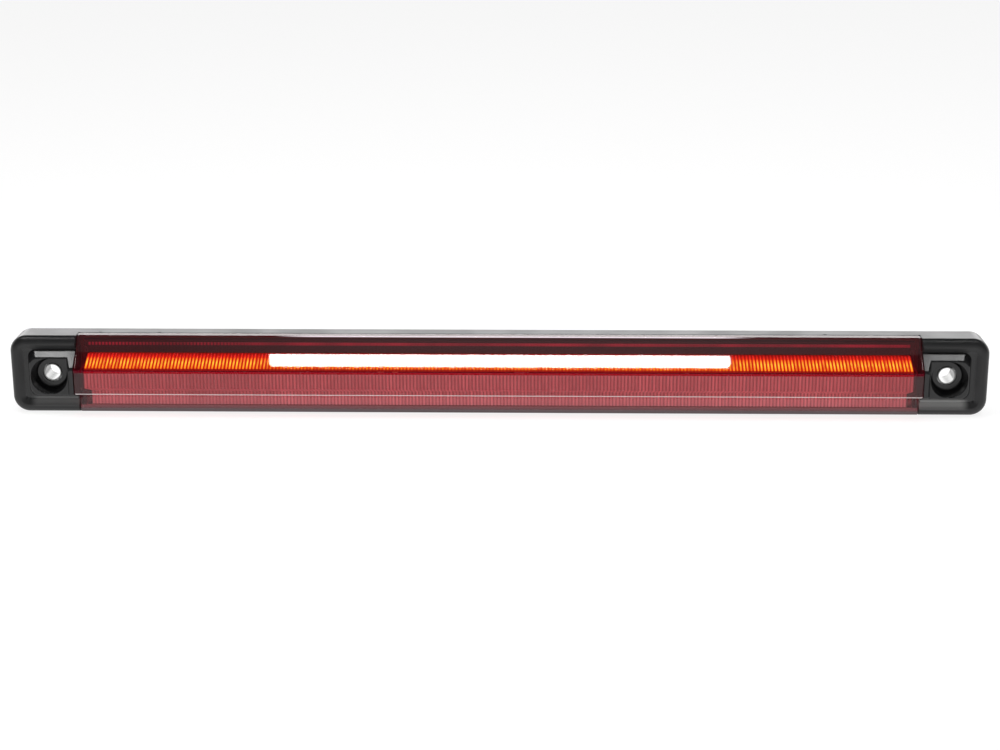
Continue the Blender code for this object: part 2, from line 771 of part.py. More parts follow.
def make_connector():
    """A flanged socket on the back, with a plug in the wall and two blades that reach the board."""
    seat = -SHOULDER - GAP
    base = seat - SOCKET_BASE
    mouth = seat - SOCKET_LENGTH

    def build(bm):
        levels = (
            (mouth, SOCKET_BODY),
            (seat - FLANGE_THICK, SOCKET_BODY),
            (seat - FLANGE_THICK, SOCKET_FLANGE),
            (seat, SOCKET_FLANGE),
            (seat, SOCKET_PLUG),
            (seat + PLUG_LENGTH, SOCKET_PLUG),
        )
        loft_y(bm, *[(forward, socket_outline(*shape)) for forward, shape in levels])

    def hollow(bm):
        outline = socket_outline(*SOCKET_MOUTH)
        loft_y(bm, (mouth - OVERCUT, outline), (base, outline))

    def slots(bm):
        for x in terminal_places():
            outline = terminal_outline(x, *TERMINAL_SLOT)
            loft_y(bm, (base - OVERCUT, outline), (seat + PLUG_LENGTH + OVERCUT, outline))

    socket = solid("connector_socket", "black_plastic", build)
    cut(socket, "socket_hollow_cutter", hollow)
    cut(socket, "terminal_slot_cutters", slots)

    back, front = seat - TERMINAL_LENGTH, BOARD_FRONT + PIN_PROUD + TIP_LENGTH / 2
    for name, x in zip(("terminal_feed", "terminal_ground"), terminal_places()):
        wide, narrow = terminal_outline(x, *TERMINAL_HALF), terminal_outline(x, *TERMINAL_TIP)
        levels = (
            (back, narrow),
            (back + TIP_LENGTH, wide),
            (front - TIP_LENGTH / 2, wide),
            (front, narrow),
        )
        solid(name, "terminal_brass", lambda bm, levels=levels: loft_y(bm, *levels))


def make_sleeves():
    """Metal tubes that take the screw load, flush with the rear face."""
    front = DISH_FLOOR + SLEEVE_PROUD
    for side, word in ((-1, "left"), (1, "right")):
        x = side * SCREW_X

        def build(bm, x=x):
            radii = (
                (-SHOULDER, SLEEVE_OUTER),
                (front - SLEEVE_EDGE, SLEEVE_OUTER),
                (front, SLEEVE_OUTER - SLEEVE_EDGE),
                (front, SLEEVE_BORE + SLEEVE_EDGE),
                (front - SLEEVE_EDGE, SLEEVE_BORE),
                (-SHOULDER, SLEEVE_BORE),
            )
            band_y(bm, *[(forward, circle(x, 0.0, radius)) for forward, radius in radii])

        solid(word + "_sleeve", "sleeve_steel", build)


def make_rear_gasket():
    solid(
        "rear_gasket",
        "foam",
        lambda bm: add_gasket_ring(
            bm, GASKET_INSET, GASKET_WIDTH, -SHOULDER - GASKET_PROUD, -SHOULDER + GASKET_DEPTH
        ),
    )


def make_vent_cap():
    """A low round cap over the breather hole."""
    seat = -SHOULDER - GAP

    levels = (
        (seat - VENT_HEIGHT, VENT_CROWN),
        (seat - VENT_SIDE, VENT_RADIUS),
        (seat, VENT_RADIUS),
        (seat, VENT_STEM),
        (seat + VENT_STEM_LENGTH, VENT_STEM),
    )
    rings = [(forward, circle(VENT_X, 0.0, radius, 24)) for forward, radius in levels]
    solid("vent_cap", "black_plastic", lambda bm: loft_y(bm, *rings))


def main():
    clear_scene()
    make_housing()
    make_lens()
    make_lens_seal()
    make_light_guide()
    make_light_shield()
    make_reflector()
    make_circuit_board()
    make_leds()
    make_electronics()
    make_board_screws()
    make_connector()
    make_sleeves()
    make_rear_gasket()
    make_vent_cap()


main()
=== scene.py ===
"""The looks of a third brake light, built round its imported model.

Lengths are in millimetres, and become metres in the meshes and in the materials' steps; only the camera and
the wide top light are placed in metres. A section is drawn as (forward, down): forward of the housing's
shoulder, where the lens starts to lean, and down from the housing's top.
"""

import math

import bmesh
import bpy
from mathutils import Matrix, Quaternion, Vector


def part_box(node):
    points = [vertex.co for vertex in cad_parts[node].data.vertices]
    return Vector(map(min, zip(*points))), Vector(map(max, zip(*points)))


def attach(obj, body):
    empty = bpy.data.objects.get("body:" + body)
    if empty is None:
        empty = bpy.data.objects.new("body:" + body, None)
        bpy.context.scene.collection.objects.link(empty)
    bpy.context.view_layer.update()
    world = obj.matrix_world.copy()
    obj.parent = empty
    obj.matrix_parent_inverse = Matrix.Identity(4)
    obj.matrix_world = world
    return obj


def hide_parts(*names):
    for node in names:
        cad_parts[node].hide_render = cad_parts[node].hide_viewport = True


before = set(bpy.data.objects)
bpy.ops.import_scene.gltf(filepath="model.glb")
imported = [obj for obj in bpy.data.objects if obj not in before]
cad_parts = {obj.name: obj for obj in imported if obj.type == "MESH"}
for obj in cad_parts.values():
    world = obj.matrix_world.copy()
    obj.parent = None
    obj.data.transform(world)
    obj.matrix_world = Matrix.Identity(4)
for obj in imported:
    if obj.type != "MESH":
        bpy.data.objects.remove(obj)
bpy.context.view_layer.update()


def box_mm(node):
    """Lowest and highest X, then Y, then Z of a CAD node, in millimetres."""
    low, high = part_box(node)
    return [1000 * value for pair in zip(low, high) for value in pair]


# Measures that the frame gives.
HOUSING = box_mm("housing")
LENS = box_mm("lens")
SLEEVE = box_mm("right_sleeve")
SOCKET = box_mm("connector_socket")
VENT = box_mm("vent_cap")
GUIDE = box_mm("light_guide")
HALF_LENGTH = HOUSING[1]
HALF_HEIGHT = HOUSING[5]
HEIGHT = 2 * HALF_HEIGHT
LENS_NOSE_HALF = LENS[1]
INSERT_HALF = GUIDE[1]
SCREW_X = (SLEEVE[0] + SLEEVE[1]) / 2
SLEEVE_OUTER = (SLEEVE[1] - SLEEVE[0]) / 2
SOCKET_X = (SOCKET[0] + SOCKET[1]) / 2
VENT_X = (VENT[0] + VENT[1]) / 2
LENS_SKIRT = 3.0  # how far the lens wraps back over the housing
SHOULDER = LENS_SKIRT - LENS[3]  # from the rear face to where the lens starts to lean
NOSE = -LENS[2] - SHOULDER
REAR = -SHOULDER  # the rear face

# The housing's outline and its rim, as in the model.
CORNER = 6.7
LEAST_CORNER = 1.4
GAP = 0.3  # between pieces
WALL = 2.0
OVERCUT = 1.0  # how far a cutter stands out
BEHIND = REAR - OVERCUT  # where a cutter from the back starts
RIM_FILLET = 3.0
RIM_CREST_END = 3.4
RIM_FLOOR_START = 6.0
RIM_FLOOR = 1.8
RIM_FLOOR_WIDTH = 1.5
RIM_SOFT = 1.4  # radius between the crest and the inner slope, and at the slope's foot
BACK_EDGE = 0.4

# The lens in section, as (forward, down), and its ends.
LEAN = (3.0, 6.5)
SLANT = (NOSE, 11.9)
SLANT_ROUND = 2.0
SLANT_RUN, SLANT_DROP = SLANT[0] - LEAN[0], SLANT[1] - LEAN[1]
CHIN = (NOSE, 22.6)
BAND = (0.9, 26.0)
LENS_HALF = 172.2
LENS_NOSE_START = 1.2
LENS_NOSE_TOP = 2.6
LENS_EDGES = (0.0, 0.6, 2.0, SLANT_ROUND, 0.6, 1.0, 0.25, 0.0)
LENS_INNER_EDGES = (0.0, 0.4, 0.6, 0.6, 0.4, 1.0, 0.4, 0.0)
LENS_END_EDGE = 0.5
# Where a highlight is painted along the top's front edge of the lens.
LENS_PAINTED_HIGHLIGHT_X = (-92.0, 106.0)  # along X, of the top's front edge

# The screw pads, the strips beside the lens and the counterbores.
PAD_FRONT = 5.1
PAD_OUT = 191.5
PAD_IN = 176.0
PAD_DRAFT = 0.35
PAD_CORNER = 3.5
PAD_BACK = 0.4
PAD_INSET = 0.1
PAD_EDGE = 0.45
STRIP_CORNER = 0.8
STRIP_BACK = 0.2
END_OVERLAP = 2.0
DISH_MOUTH = 7.55
DISH_FLOOR_RADIUS = 6.2
DISH_FLOOR = -1.2
DISH_LIP = 0.3
DISH_FILLET = 0.8

# The hollows and posts behind, and the seal between the lens and the housing.
POCKET_HALF = 7.6
POCKET_TUBE = 5.6
POCKET_FRONT = -3.6
POCKET_CORNER = 2.0
SEAL_ROOM = 1.4
STEP = -LENS_SKIRT - SEAL_ROOM
SEAL_INSET = 0.06
SEAL_GAP = 0.05
SEAL_EDGE = 0.08
SPIGOT_THICK = 1.5
SPIGOT_FRONT = -1.6
BACK_WALL = 2.0
POST_RADIUS = 2.7
POST_HOLE = 1.45
POST_END = 1.2
BOARD_FRONT = -4.0
BOARD_THICK = 1.6
BOARD_SCREWS = (-150.0, -78.0, 78.0, 150.0)
SCREW_DOWN = 18.6

# The sleeves, the gasket, the socket, the vent and the marks on the back.
SLEEVE_BORE = 3.2
SLEEVE_PROUD = 0.2
SLEEVE_EDGE = 0.3
GASKET_INSET = 2.0
GASKET_WIDTH = 3.0
GASKET_DEPTH = 0.7
GASKET_PROUD = 1.0
GASKET_ROUND = 0.6
SOCKET_PLUG = (6.0, 3.25, 0.6)
SOCKET_BODY = (8.0, 4.9, 1.2)
SOCKET_FLANGE = (10.5, 6.6, 1.6)
SOCKET_MOUTH = (6.6, 3.5, 0.8)
SOCKET_LENGTH = 11.2
SOCKET_BASE = 2.4
SOCKET_EDGE = 0.4
FLANGE_THICK = 1.5
LATCH_HALF = 2.2
LATCH_RAMP = ((2.0, 0.2), (4.2, -0.9), (4.8, -0.9), (4.8, 0.2))  # (from the mouth, down)
PLUG_LENGTH = 3.6
TERMINAL_SPACING = 6.0
TERMINAL_SLOT = (1.6, 0.7)
VENT_RADIUS = 4.5
VENT_STEM = 2.0
VENT_STEM_LENGTH = 3.2
VENT_HEIGHT = 1.6
VENT_CROWN = 0.9
VENT_RING = (1.4, 1.7, 2.2, 2.5)  # radii of the groove round the cap's middle
VENT_RING_DEPTH = 0.25
MARK_RADIUS = 2.5
MARK_DEPTH = 0.2
MARKS_X = (-150.0, -100.0, -10.0, 10.0, 100.0, 150.0)
MARKS_Z = 1.0
NOTCHES_X = (-163.6, -139.0, 134.0)  # where the lens snaps into the top of the housing
NOTCH_HALF = 0.7

# The guide, the reflector and the shield behind the lens.
GUIDE_REAR = -2.2
GUIDE_TOP = 8.0
GUIDE_START = 0.2
GUIDE_FRONT = 5.7
GUIDE_FOOT = 13.4
PANEL_FRONT = 6.7
PANEL_THICK = 1.2
PANEL_FOOT = 29.9
PANEL_GAP = 0.5
# How far down the painted dark red band along the reflector's top edge reaches.
PANEL_PAINTED_EDGE = 0.6
LIP_TOP = 3.2
# Where the painted glow on the shield's lip ends.
LIP_GLOW_END = 4.3
LIP_FACE = [(-0.95, LIP_TOP), (-0.95, 3.4), (-0.95, 4.1)]
SHIELD_BACK = [(0.2, 6.6), (0.2, 7.0), (-0.9, 7.1), (-2.1, 4.1), (-1.3, 4.05), (-1.3, LIP_TOP)]
RIB_PITCH = 1.4
RIB_POINTS = 8
GUIDE_RIB = 0.30
PANEL_RIB = 0.35
LIP_RIB = 0.12
FAN = 0.0054  # how much wider the ribs stand at the guide's front than at its rear

# The lights and the floor.
EMITTER_LEVEL = 400.0
STRIP_LIGHT_X = (-149.0, 130.0)
STRIP_LIGHT_Y = (-73.03, -64.0)
STRIP_LIGHT_CORNER = 3.0
LEFT_SOFTBOX_X = (-400.0, -268.0)
RIGHT_SOFTBOX_X = (247.0, 380.0)
SOFTBOX_Y = (-105.0, -40.0)
SOFTBOX_CORNER = 20.0
FLOOR_HALF = 6000.0
FLOOR_GAP = 0.2

# How many steps a round takes.
CORNER_STEPS = 14
FILLET_STEPS = 9
SMALL_STEPS = 6
ROUND_STEPS = 112


# Placing a section


def y_at(forward):
    return -(SHOULDER + forward)


def z_at(down):
    return HALF_HEIGHT - down


def top_line(forward):
    """How far down the slanted face lies."""
    return LEAN[1] + (forward - LEAN[0]) * SLANT_DROP / SLANT_RUN


def foot_line(forward):
    """How far down the underside of the nose lies."""
    return CHIN[1] + (CHIN[0] - forward) * (BAND[1] - CHIN[1]) / (CHIN[0] - BAND[0])


def slant_inside(forward, clearance):
    return top_line(forward) + (WALL + clearance) * math.hypot(SLANT_RUN, SLANT_DROP) / SLANT_RUN


def foot_inside(forward, clearance):
    run, drop = CHIN[0] - BAND[0], BAND[1] - CHIN[1]
    return foot_line(forward) - (WALL + clearance) * math.hypot(run, drop) / run


# Outlines


def rounded(points, radius, steps):
    """The outline through points, its corners rounded by one radius or by one for each point."""
    radii = [radius] * len(points) if isinstance(radius, (int, float)) else radius
    made = []
    for i, (x, y) in enumerate(points):
        r = radii[i]
        if r <= 0:
            made.append((x, y))
            continue
        before, after = points[i - 1], points[(i + 1) % len(points)]
        ax, ay = before[0] - x, before[1] - y
        bx, by = after[0] - x, after[1] - y
        a, b = math.hypot(ax, ay), math.hypot(bx, by)
        ax, ay, bx, by = ax / a, ay / a, bx / b, by / b
        half = math.acos(max(-1.0, min(1.0, ax * bx + ay * by))) / 2
        reach = r / math.tan(half)
        mx, my = ax + bx, ay + by
        m = math.hypot(mx, my)
        cx, cy = x + mx / m * r / math.sin(half), y + my / m * r / math.sin(half)
        start = math.atan2(y + ay * reach - cy, x + ax * reach - cx)
        end = math.atan2(y + by * reach - cy, x + bx * reach - cx)
        turn = (end - start + math.pi) % (2 * math.pi) - math.pi
        for k in range(steps + 1):
            angle = start + turn * k / steps
            made.append((cx + r * math.cos(angle), cy + r * math.sin(angle)))
    return made


def box_outline(x0, x1, z0, z1, radius=0.0, steps=CORNER_STEPS):
    return rounded([(x0, z0), (x1, z0), (x1, z1), (x0, z1)], radius, steps)


def frame_outline(inset):
    """The housing's outline seen from the front, moved in by inset."""
    half_x, half_z = HALF_LENGTH - inset, HALF_HEIGHT - inset
    return box_outline(-half_x, half_x, -half_z, half_z, max(CORNER - inset, LEAST_CORNER))


def circle(x, z, radius, steps=ROUND_STEPS):
    turns = [2 * math.pi * k / steps for k in range(steps)]
    return [(x + radius * math.cos(t), z + radius * math.sin(t)) for t in turns]


def offset(points, distance):
    """An open line moved to its left by distance, corners kept sharp."""
    shifted = []
    for (x0, y0), (x1, y1) in zip(points, points[1:]):
        length = math.hypot(x1 - x0, y1 - y0)
        nx, ny = -(y1 - y0) / length, (x1 - x0) / length
        shifted.append(((x0 + nx * distance, y0 + ny * distance), (x1 - x0, y1 - y0)))
    made = [shifted[0][0]]
    for (p, d), (q, e) in zip(shifted, shifted[1:]):
        cross = d[0] * e[1] - d[1] * e[0]
        t = ((q[0] - p[0]) * e[1] - (q[1] - p[1]) * e[0]) / cross
        made.append((p[0] + d[0] * t, p[1] + d[1] * t))
    p, d = shifted[-1]
    made.append((p[0] + d[0], p[1] + d[1]))
    return made


def quarter(radius, steps=SMALL_STEPS):
    """(along, in) pairs of a rounded edge, from the side to the face."""
    turns = [math.pi / 2 * k / steps for k in range(steps + 1)]
    return [(radius * math.sin(t), radius * (1 - math.cos(t))) for t in turns]


# Solids


ADD, CUT = "UNION", "DIFFERENCE"


def add_object(name, data):
    obj = bpy.data.objects.new(name, data)
    bpy.context.scene.collection.objects.link(obj)
    return obj


def mesh_object(name, bm):
    """An object in metres from shapes in millimetres."""
    bmesh.ops.scale(bm, vec=(0.001, 0.001, 0.001), verts=bm.verts)
    mesh = bpy.data.meshes.new(name)
    bm.to_mesh(mesh)
    bm.free()
    return add_object(name, mesh)


def new_object(name, build):
    bm = bmesh.new()
    build(bm)
    bmesh.ops.recalc_face_normals(bm, faces=bm.faces)
    return mesh_object(name, bm)


def join_rings(bm, a, b):
    for i in range(len(a)):
        j = (i + 1) % len(a)
        bm.faces.new((a[i], a[j], b[j], b[i]))


def add_loft(bm, rings):
    """A closed solid through rings of points, each with as many points as the last."""
    made = [[bm.verts.new(p) for p in ring] for ring in rings]
    for a, b in zip(made, made[1:]):
        join_rings(bm, a, b)
    bm.faces.new(made[0])
    bm.faces.new(made[-1])


def add_band(bm, rings):
    """A closed solid like a tube's wall: each ring joins the next, and the last joins the first."""
    made = [[bm.verts.new(p) for p in ring] for ring in rings]
    for a, b in zip(made, made[1:] + made[:1]):
        join_rings(bm, a, b)


def band_y(bm, *levels):
    add_band(bm, [[(x, y_at(forward), z) for x, z in outline] for forward, outline in levels])


def loft_y(bm, *levels):
    add_loft(bm, [[(x, y_at(forward), z) for x, z in outline] for forward, outline in levels])


def loft_x(bm, levels):
    """A loft along X. Each level is (x, section)."""
    add_loft(bm, [[(x, y_at(f), z_at(d)) for f, d in section] for x, section in levels])


def add_box(bm, x0, x1, f0, f1, d0, d1):
    section = [(f0, d0), (f1, d0), (f1, d1), (f0, d1)]
    loft_x(bm, [(x0, section), (x1, section)])


def add_rods(bm, places, z, radius, back, front):
    """A round bar along Y at each place along X."""
    for x in places:
        outline = circle(x, z, radius, ROUND_STEPS // 2)
        loft_y(bm, (back, outline), (front, outline))


def carve(obj, steps):
    """Adds solids to obj and cuts others from it, in order, and leaves one plain mesh."""
    helpers = []
    for i, (operation, build) in enumerate(steps):
        helper = new_object(f"{obj.name}_helper_{i}", build)
        modifier = obj.modifiers.new(helper.name, "BOOLEAN")
        modifier.operation = operation
        modifier.solver = "EXACT"
        modifier.object = helper
        helpers.append(helper)
    view = bpy.context.evaluated_depsgraph_get()
    mesh = bpy.data.meshes.new_from_object(obj.evaluated_get(view))
    obj.modifiers.clear()
    obj.data = mesh
    for helper in helpers:
        bpy.data.objects.remove(helper)


def finish_piece(obj, finish, nodes, sharp=28.0):
    """Smooths a piece, gives it its material, hangs it under the root body and hides the CAD nodes that it
    stands for.
    """
    obj.data.materials.clear()
    obj.data.materials.append(finish)
    obj.data.shade_smooth()
    obj.data.set_sharp_from_angle(angle=math.radians(sharp))
    weighted = obj.modifiers.new("weighted_normals", "WEIGHTED_NORMAL")
    weighted.keep_sharp = True
    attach(obj, "root")
    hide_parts(*nodes)


# Materials


WHITE = (1.0, 1.0, 1.0, 1.0)


def set_inputs(tree, node, inputs):
    """Gives each input a plain value, or a link from another node's output."""
    for key, value in inputs.items():
        if isinstance(value, bpy.types.NodeSocket):
            tree.links.new(value, node.inputs[key])
        else:
            node.inputs[key].default_value = value


def add_node(tree, kind, inputs=None, **settings):
    made = tree.nodes.new(kind)
    for key, value in settings.items():
        setattr(made, key, value)
    set_inputs(tree, made, inputs or {})
    return made


def add_ramp(tree, value, stops):
    """A colour for each value between 0 and 1."""
    made = add_node(tree, "ShaderNodeValToRGB", {"Fac": value})
    elements = made.color_ramp.elements
    while len(elements) < len(stops):
        elements.new(0.5)
    for element, (position, colour) in zip(elements, stops):
        element.position = position
        element.color = (*colour, 1.0)
    return made.outputs["Color"]


def add_math(tree, operation, *values):
    return add_node(tree, "ShaderNodeMath", dict(enumerate(values)), operation=operation).outputs[0]


def add_product(tree, first, *others):
    for other in others:
        first = add_math(tree, "MULTIPLY", first, other)
    return first


def add_range(tree, value, low, high, to_low=0.0, to_high=1.0):
    """Maps low to high onto another range, with soft ends."""
    inputs = {"Value": value, "From Min": low, "From Max": high, "To Min": to_low, "To Max": to_high}
    return add_node(tree, "ShaderNodeMapRange", inputs, interpolation_type="SMOOTHSTEP").outputs[0]


def add_step(tree, place, low, high, to_low=0.0, to_high=1.0):
    """Maps a stretch along one axis, given in millimetres, onto another range, with soft ends."""
    return add_range(tree, place, low / 1000, high / 1000, to_low, to_high)


def add_span(tree, place, low, high, soft):
    """1 between two places along one axis, in millimetres, and 0 outside them."""
    rise = add_step(tree, place, low, low + soft)
    return add_product(tree, rise, add_step(tree, place, high, high - soft))


def add_level(tree, place, low, high):
    """0 at one place along an axis and 1 at another, in millimetres, and even between them."""
    inputs = {"Value": place, "From Min": low / 1000, "From Max": high / 1000}
    return add_node(tree, "ShaderNodeMapRange", inputs).outputs[0]


def add_mix(tree, factor, first, second):
    """A blend of two colours."""
    inputs = {0: factor, 6: first, 7: second}
    return add_node(tree, "ShaderNodeMix", inputs, data_type="RGBA").outputs[2]


def add_noise(tree, place, scale, detail=2.0):
    inputs = {"Vector": place, "Scale": scale, "Detail": detail}
    return add_node(tree, "ShaderNodeTexNoise", inputs).outputs["Fac"]


def start_material(name):
    """A new material, its node tree, its Principled shader and the piece's own coordinates."""
    made = bpy.data.materials.new(name)
    made.use_nodes = True
    tree = made.node_tree
    place = add_node(tree, "ShaderNodeTexCoord").outputs["Object"]
    return made, tree, tree.nodes["Principled BSDF"], place


def axes(tree, place):
    """The X, Y and Z of a place."""
    parts = add_node(tree, "ShaderNodeSeparateXYZ", {"Vector": place}).outputs
    return parts["X"], parts["Y"], parts["Z"]


def add_streaks(tree, place, scale, detail=2.0):
    """Noise with its own number of cells per metre along X, Y and Z."""
    stretched = add_node(tree, "ShaderNodeMapping", {"Vector": place, "Scale": scale}).outputs[0]
    return add_noise(tree, stretched, 1.0, detail)


def mix_shaders(tree, factor, first, second):
    return add_node(tree, "ShaderNodeMixShader", {0: factor, 1: first.outputs[0], 2: second.outputs[0]})


def set_bump(tree, shader, height, strength, distance):
    inputs = {"Height": height, "Strength": strength, "Distance": distance}
    set_inputs(tree, shader, {"Normal": add_node(tree, "ShaderNodeBump", inputs).outputs[0]})


def moulded(name, colour, roughness, spread=0.05, shine=0.38):
    """Moulded plastic: a fine grain, and a colour and a gloss that vary a little."""
    made, tree, shader, place = start_material(name)
    cloud = add_noise(tree, place, 70.0, 5.0)
    pale = [value * 1.35 + 0.0005 for value in colour]
    set_inputs(tree, shader, {
        "Base Color": add_ramp(tree, cloud, ((0.3, colour), (0.75, pale))),
        "Roughness": add_range(tree, cloud, 0.3, 0.7, roughness - spread, roughness + spread),
        "Specular IOR Level": shine,
    })
    set_bump(tree, shader, add_noise(tree, place, 2400.0, 3.0), 0.10, 0.00006)
    return made


def housing_material():
    """Satin black: smooth inside the rim, rougher on it, with a pale highlight painted on the lower rim's
    ledge, brighter towards the right.
    """
    made = moulded("satin_black", (0.0055, 0.0055, 0.0060), 0.19, 0.03, shine=0.5)
    tree = made.node_tree
    shader = tree.nodes["Principled BSDF"]
    smooth = shader.inputs["Roughness"].links[0].from_socket
    black = shader.inputs["Base Color"].links[0].from_socket
    x, _, z = axes(tree, add_node(tree, "ShaderNodeTexCoord").outputs["Object"])
    sideways, upright = add_math(tree, "ABSOLUTE", x), add_math(tree, "ABSOLUTE", z)

    on_rim, on_top = 0.24, 0.14  # what the roughness grows by
    side_edge, level_edge = HALF_LENGTH - RIM_FLOOR_START, HALF_HEIGHT - RIM_FLOOR_START
    at_ends = add_step(tree, sideways, side_edge + 0.2, side_edge + 1.0, 0.0, on_rim)
    along = add_step(tree, upright, level_edge + 0.2, level_edge + 1.0, 0.0, on_rim)
    rough = add_math(tree, "MAXIMUM", at_ends, along)
    top = add_step(tree, z, z_at(1.0), z_at(0.4), on_rim, on_top)
    rough = add_math(tree, "ADD", smooth, add_math(tree, "MINIMUM", rough, top))

    # A painted highlight: pale grey on the up-facing ledge of the lower rim, brighter towards the right,
    # standing in for the light that the ledge catches.
    ledge = HEIGHT - RIM_FLOOR_START
    painted_ledge_sheen = add_product(
        tree,
        add_step(tree, z, z_at(ledge - 1.4), z_at(ledge)),
        add_step(tree, z, z_at(ledge + 3.8), z_at(ledge + 1.2)),
        add_step(tree, x, -180.0, 180.0, 0.40, 0.95),
        add_step(tree, sideways, HALF_LENGTH - 7.0, HALF_LENGTH - 11.0),
    )
    colour = add_mix(tree, painted_ledge_sheen, black, (0.300, 0.300, 0.296, 1.0))
    set_inputs(tree, shader, {"Base Color": colour, "Roughness": rough})
    return made


def metal(name, colour, roughness, grain):
    """Metal with fine tool marks: grain is how many cells it has per metre along X, Y and Z."""
    made, tree, shader, place = start_material(name)
    marks = add_streaks(tree, place, grain, 4.0)
    dark = [value * 0.55 for value in colour]
    set_inputs(tree, shader, {
        "Base Color": add_ramp(tree, marks, ((0.25, dark), (0.65, colour))),
        "Roughness": add_range(tree, marks, 0.2, 0.8, roughness * 0.7, roughness * 1.4),
        "Metallic": 1.0,
    })
    set_bump(tree, shader, marks, 0.2, 0.00004)
    return made


LENS_TINT = (0.82, 0.26, 0.29)  # of light that goes through one wall


def lens_body(tree, z, flow, painted_chin_line):
    """What the lens's wall does with light: it tints it, except at a painted highlight line along the nose's
    lower edge, and in its bottom 1.3 mm, which is painted opaque and dark as shade.
    """
    tint = [math.sqrt(value) for value in LENS_TINT]
    deep = [value * 0.985 for value in tint]
    colour = add_ramp(tree, flow, ((0.35, deep), (0.65, tint)))
    clear = add_node(tree, "ShaderNodeBsdfTransparent", {"Color": colour})
    painted_line_haze = add_node(tree, "ShaderNodeBsdfDiffuse", {"Color": (0.85, 0.72, 0.72, 1.0)})
    # The pale haze along the nose's lower edge is a painted highlight.
    body = mix_shaders(tree, add_product(tree, painted_chin_line, 0.6), clear, painted_line_haze)
    # Painted shade: the bottom 1.3 mm of the wall is opaque and dark, standing in for the shade seen through
    # it.
    rim = add_step(tree, z, z_at(HEIGHT - 1.7), z_at(HEIGHT - 1.3))
    edge = add_node(tree, "ShaderNodeBsdfDiffuse", {"Color": (0.10, 0.085, 0.09, 1.0)})
    return mix_shaders(tree, rim, body, edge)


def lens_painted_light(tree, x, y, z, painted_chin_line):
    """Painted light that the wall gives off though it is no lamp: a faint red glow, a painted dark red band
    below the slant, a paler red glow below the reflector's foot, a painted highlight along the nose's lower
    edge and one on the middle of the top's front edge.
    """
    # A painted glow: faint red above, brighter red just below the reflector's foot, fading towards the
    # bottom.
    foot_stops = (
        (0.0, (0.019, 0.001, 0.002)),
        (0.15, (0.150, 0.035, 0.040)),
        (0.40, (0.110, 0.035, 0.040)),
        (0.65, (0.025, 0.010, 0.012)),
    )
    glow = add_ramp(tree, add_level(tree, z, z_at(PANEL_FOOT - 0.6), -HALF_HEIGHT), foot_stops)
    # The pale painted highlight along the nose's lower edge.
    glow = add_mix(tree, painted_chin_line, glow, (0.110, 0.115, 0.115, 1.0))
    # A painted dark red band just below the slant's rounded foot, standing in for the red shade seen through
    # the wall there.
    painted_red_band = add_span(tree, z, z_at(SLANT[1] + 1.9), z_at(SLANT[1] + 0.3), 0.4)
    glow = add_mix(tree, painted_red_band, glow, (0.085, 0.001, 0.007, 1.0))
    # A painted highlight: the middle of the top's front edge glows pale, standing in for the strip light's
    # glint there.
    crest = add_product(
        tree,
        add_step(tree, z, z_at(0.45), z_at(0.30)),
        add_step(tree, y, y_at(-0.45), y_at(-0.30)),
        add_span(tree, x, *LENS_PAINTED_HIGHLIGHT_X, 18.0),
    )
    return add_mix(tree, crest, glow, (0.90, 0.80, 0.86, 1.0))


def lens_material():
    """Clear red acrylic: light goes straight through its wall, tinted, and its outside is glossy."""
    made, tree, shader, place = start_material("red_acrylic")
    tree.nodes.remove(shader)
    x, y, z = axes(tree, place)
    outside = add_math(tree, "SUBTRACT", 1.0, add_node(tree, "ShaderNodeNewGeometry").outputs["Backfacing"])
    flow = add_streaks(tree, place, (6.0, 60.0, 60.0), 3.0)
    # A pale line is painted along the nose's lower edge as a highlight: a haze and a glow.
    painted_chin_line = add_span(tree, z, z_at(CHIN[1] + 0.85), z_at(CHIN[1] - 0.45), 0.3)
    painted_chin_line = add_product(tree, painted_chin_line, add_step(tree, y, y_at(NOSE - 0.9), y_at(NOSE - 0.5)))
    body = lens_body(tree, z, flow, painted_chin_line)
    # The outside of the wall gives off painted light: a glow, bands and highlights.
    lit_inputs = {"Color": lens_painted_light(tree, x, y, z, painted_chin_line), "Strength": outside}
    lit = add_node(tree, "ShaderNodeEmission", lit_inputs)
    body = add_node(tree, "ShaderNodeAddShader", {0: body.outputs[0], 1: lit.outputs[0]})
    # The rounded foot of the slant is duller than the rest, and so is the top.
    dull = add_span(tree, z, z_at(SLANT[1] + 1.8), z_at(SLANT[1] - 0.6), 0.3)
    share = add_product(
        tree,
        outside,
        add_math(tree, "MULTIPLY_ADD", dull, -0.85, 1.0),
        add_step(tree, z, z_at(0.40), z_at(0.10), 1.0, 0.78),
        add_node(tree, "ShaderNodeFresnel", {"IOR": 1.49}).outputs[0],
    )
    wave = add_node(tree, "ShaderNodeBump", {"Height": flow, "Strength": 0.01, "Distance": 0.0002})
    gloss_inputs = {"Color": WHITE, "Roughness": 0.02, "Normal": wave.outputs[0]}
    gloss = add_node(tree, "ShaderNodeBsdfGlossy", gloss_inputs)
    surface = mix_shaders(tree, share, body, gloss).outputs[0]
    set_inputs(tree, tree.nodes["Material Output"], {"Surface": surface})
    return made


def fan(forward):
    """How far the ribs stand apart at one depth, as a factor."""
    return 1 + FAN * (forward - GUIDE_REAR) / (GUIDE_FRONT - GUIDE_REAR)


def rib_mask(tree, x, y, low, high):
    """1 on the crest of each rib and 0 in the grooves: low and high are distances from a groove."""
    rise = -1000 * FAN / (GUIDE_FRONT - GUIDE_REAR)
    spread_out = add_math(tree, "MULTIPLY_ADD", y, rise, fan(REAR))
    along = add_math(tree, "DIVIDE", x, spread_out)
    return add_step(tree, add_math(tree, "PINGPONG", along, RIB_PITCH / 2000), low, high)


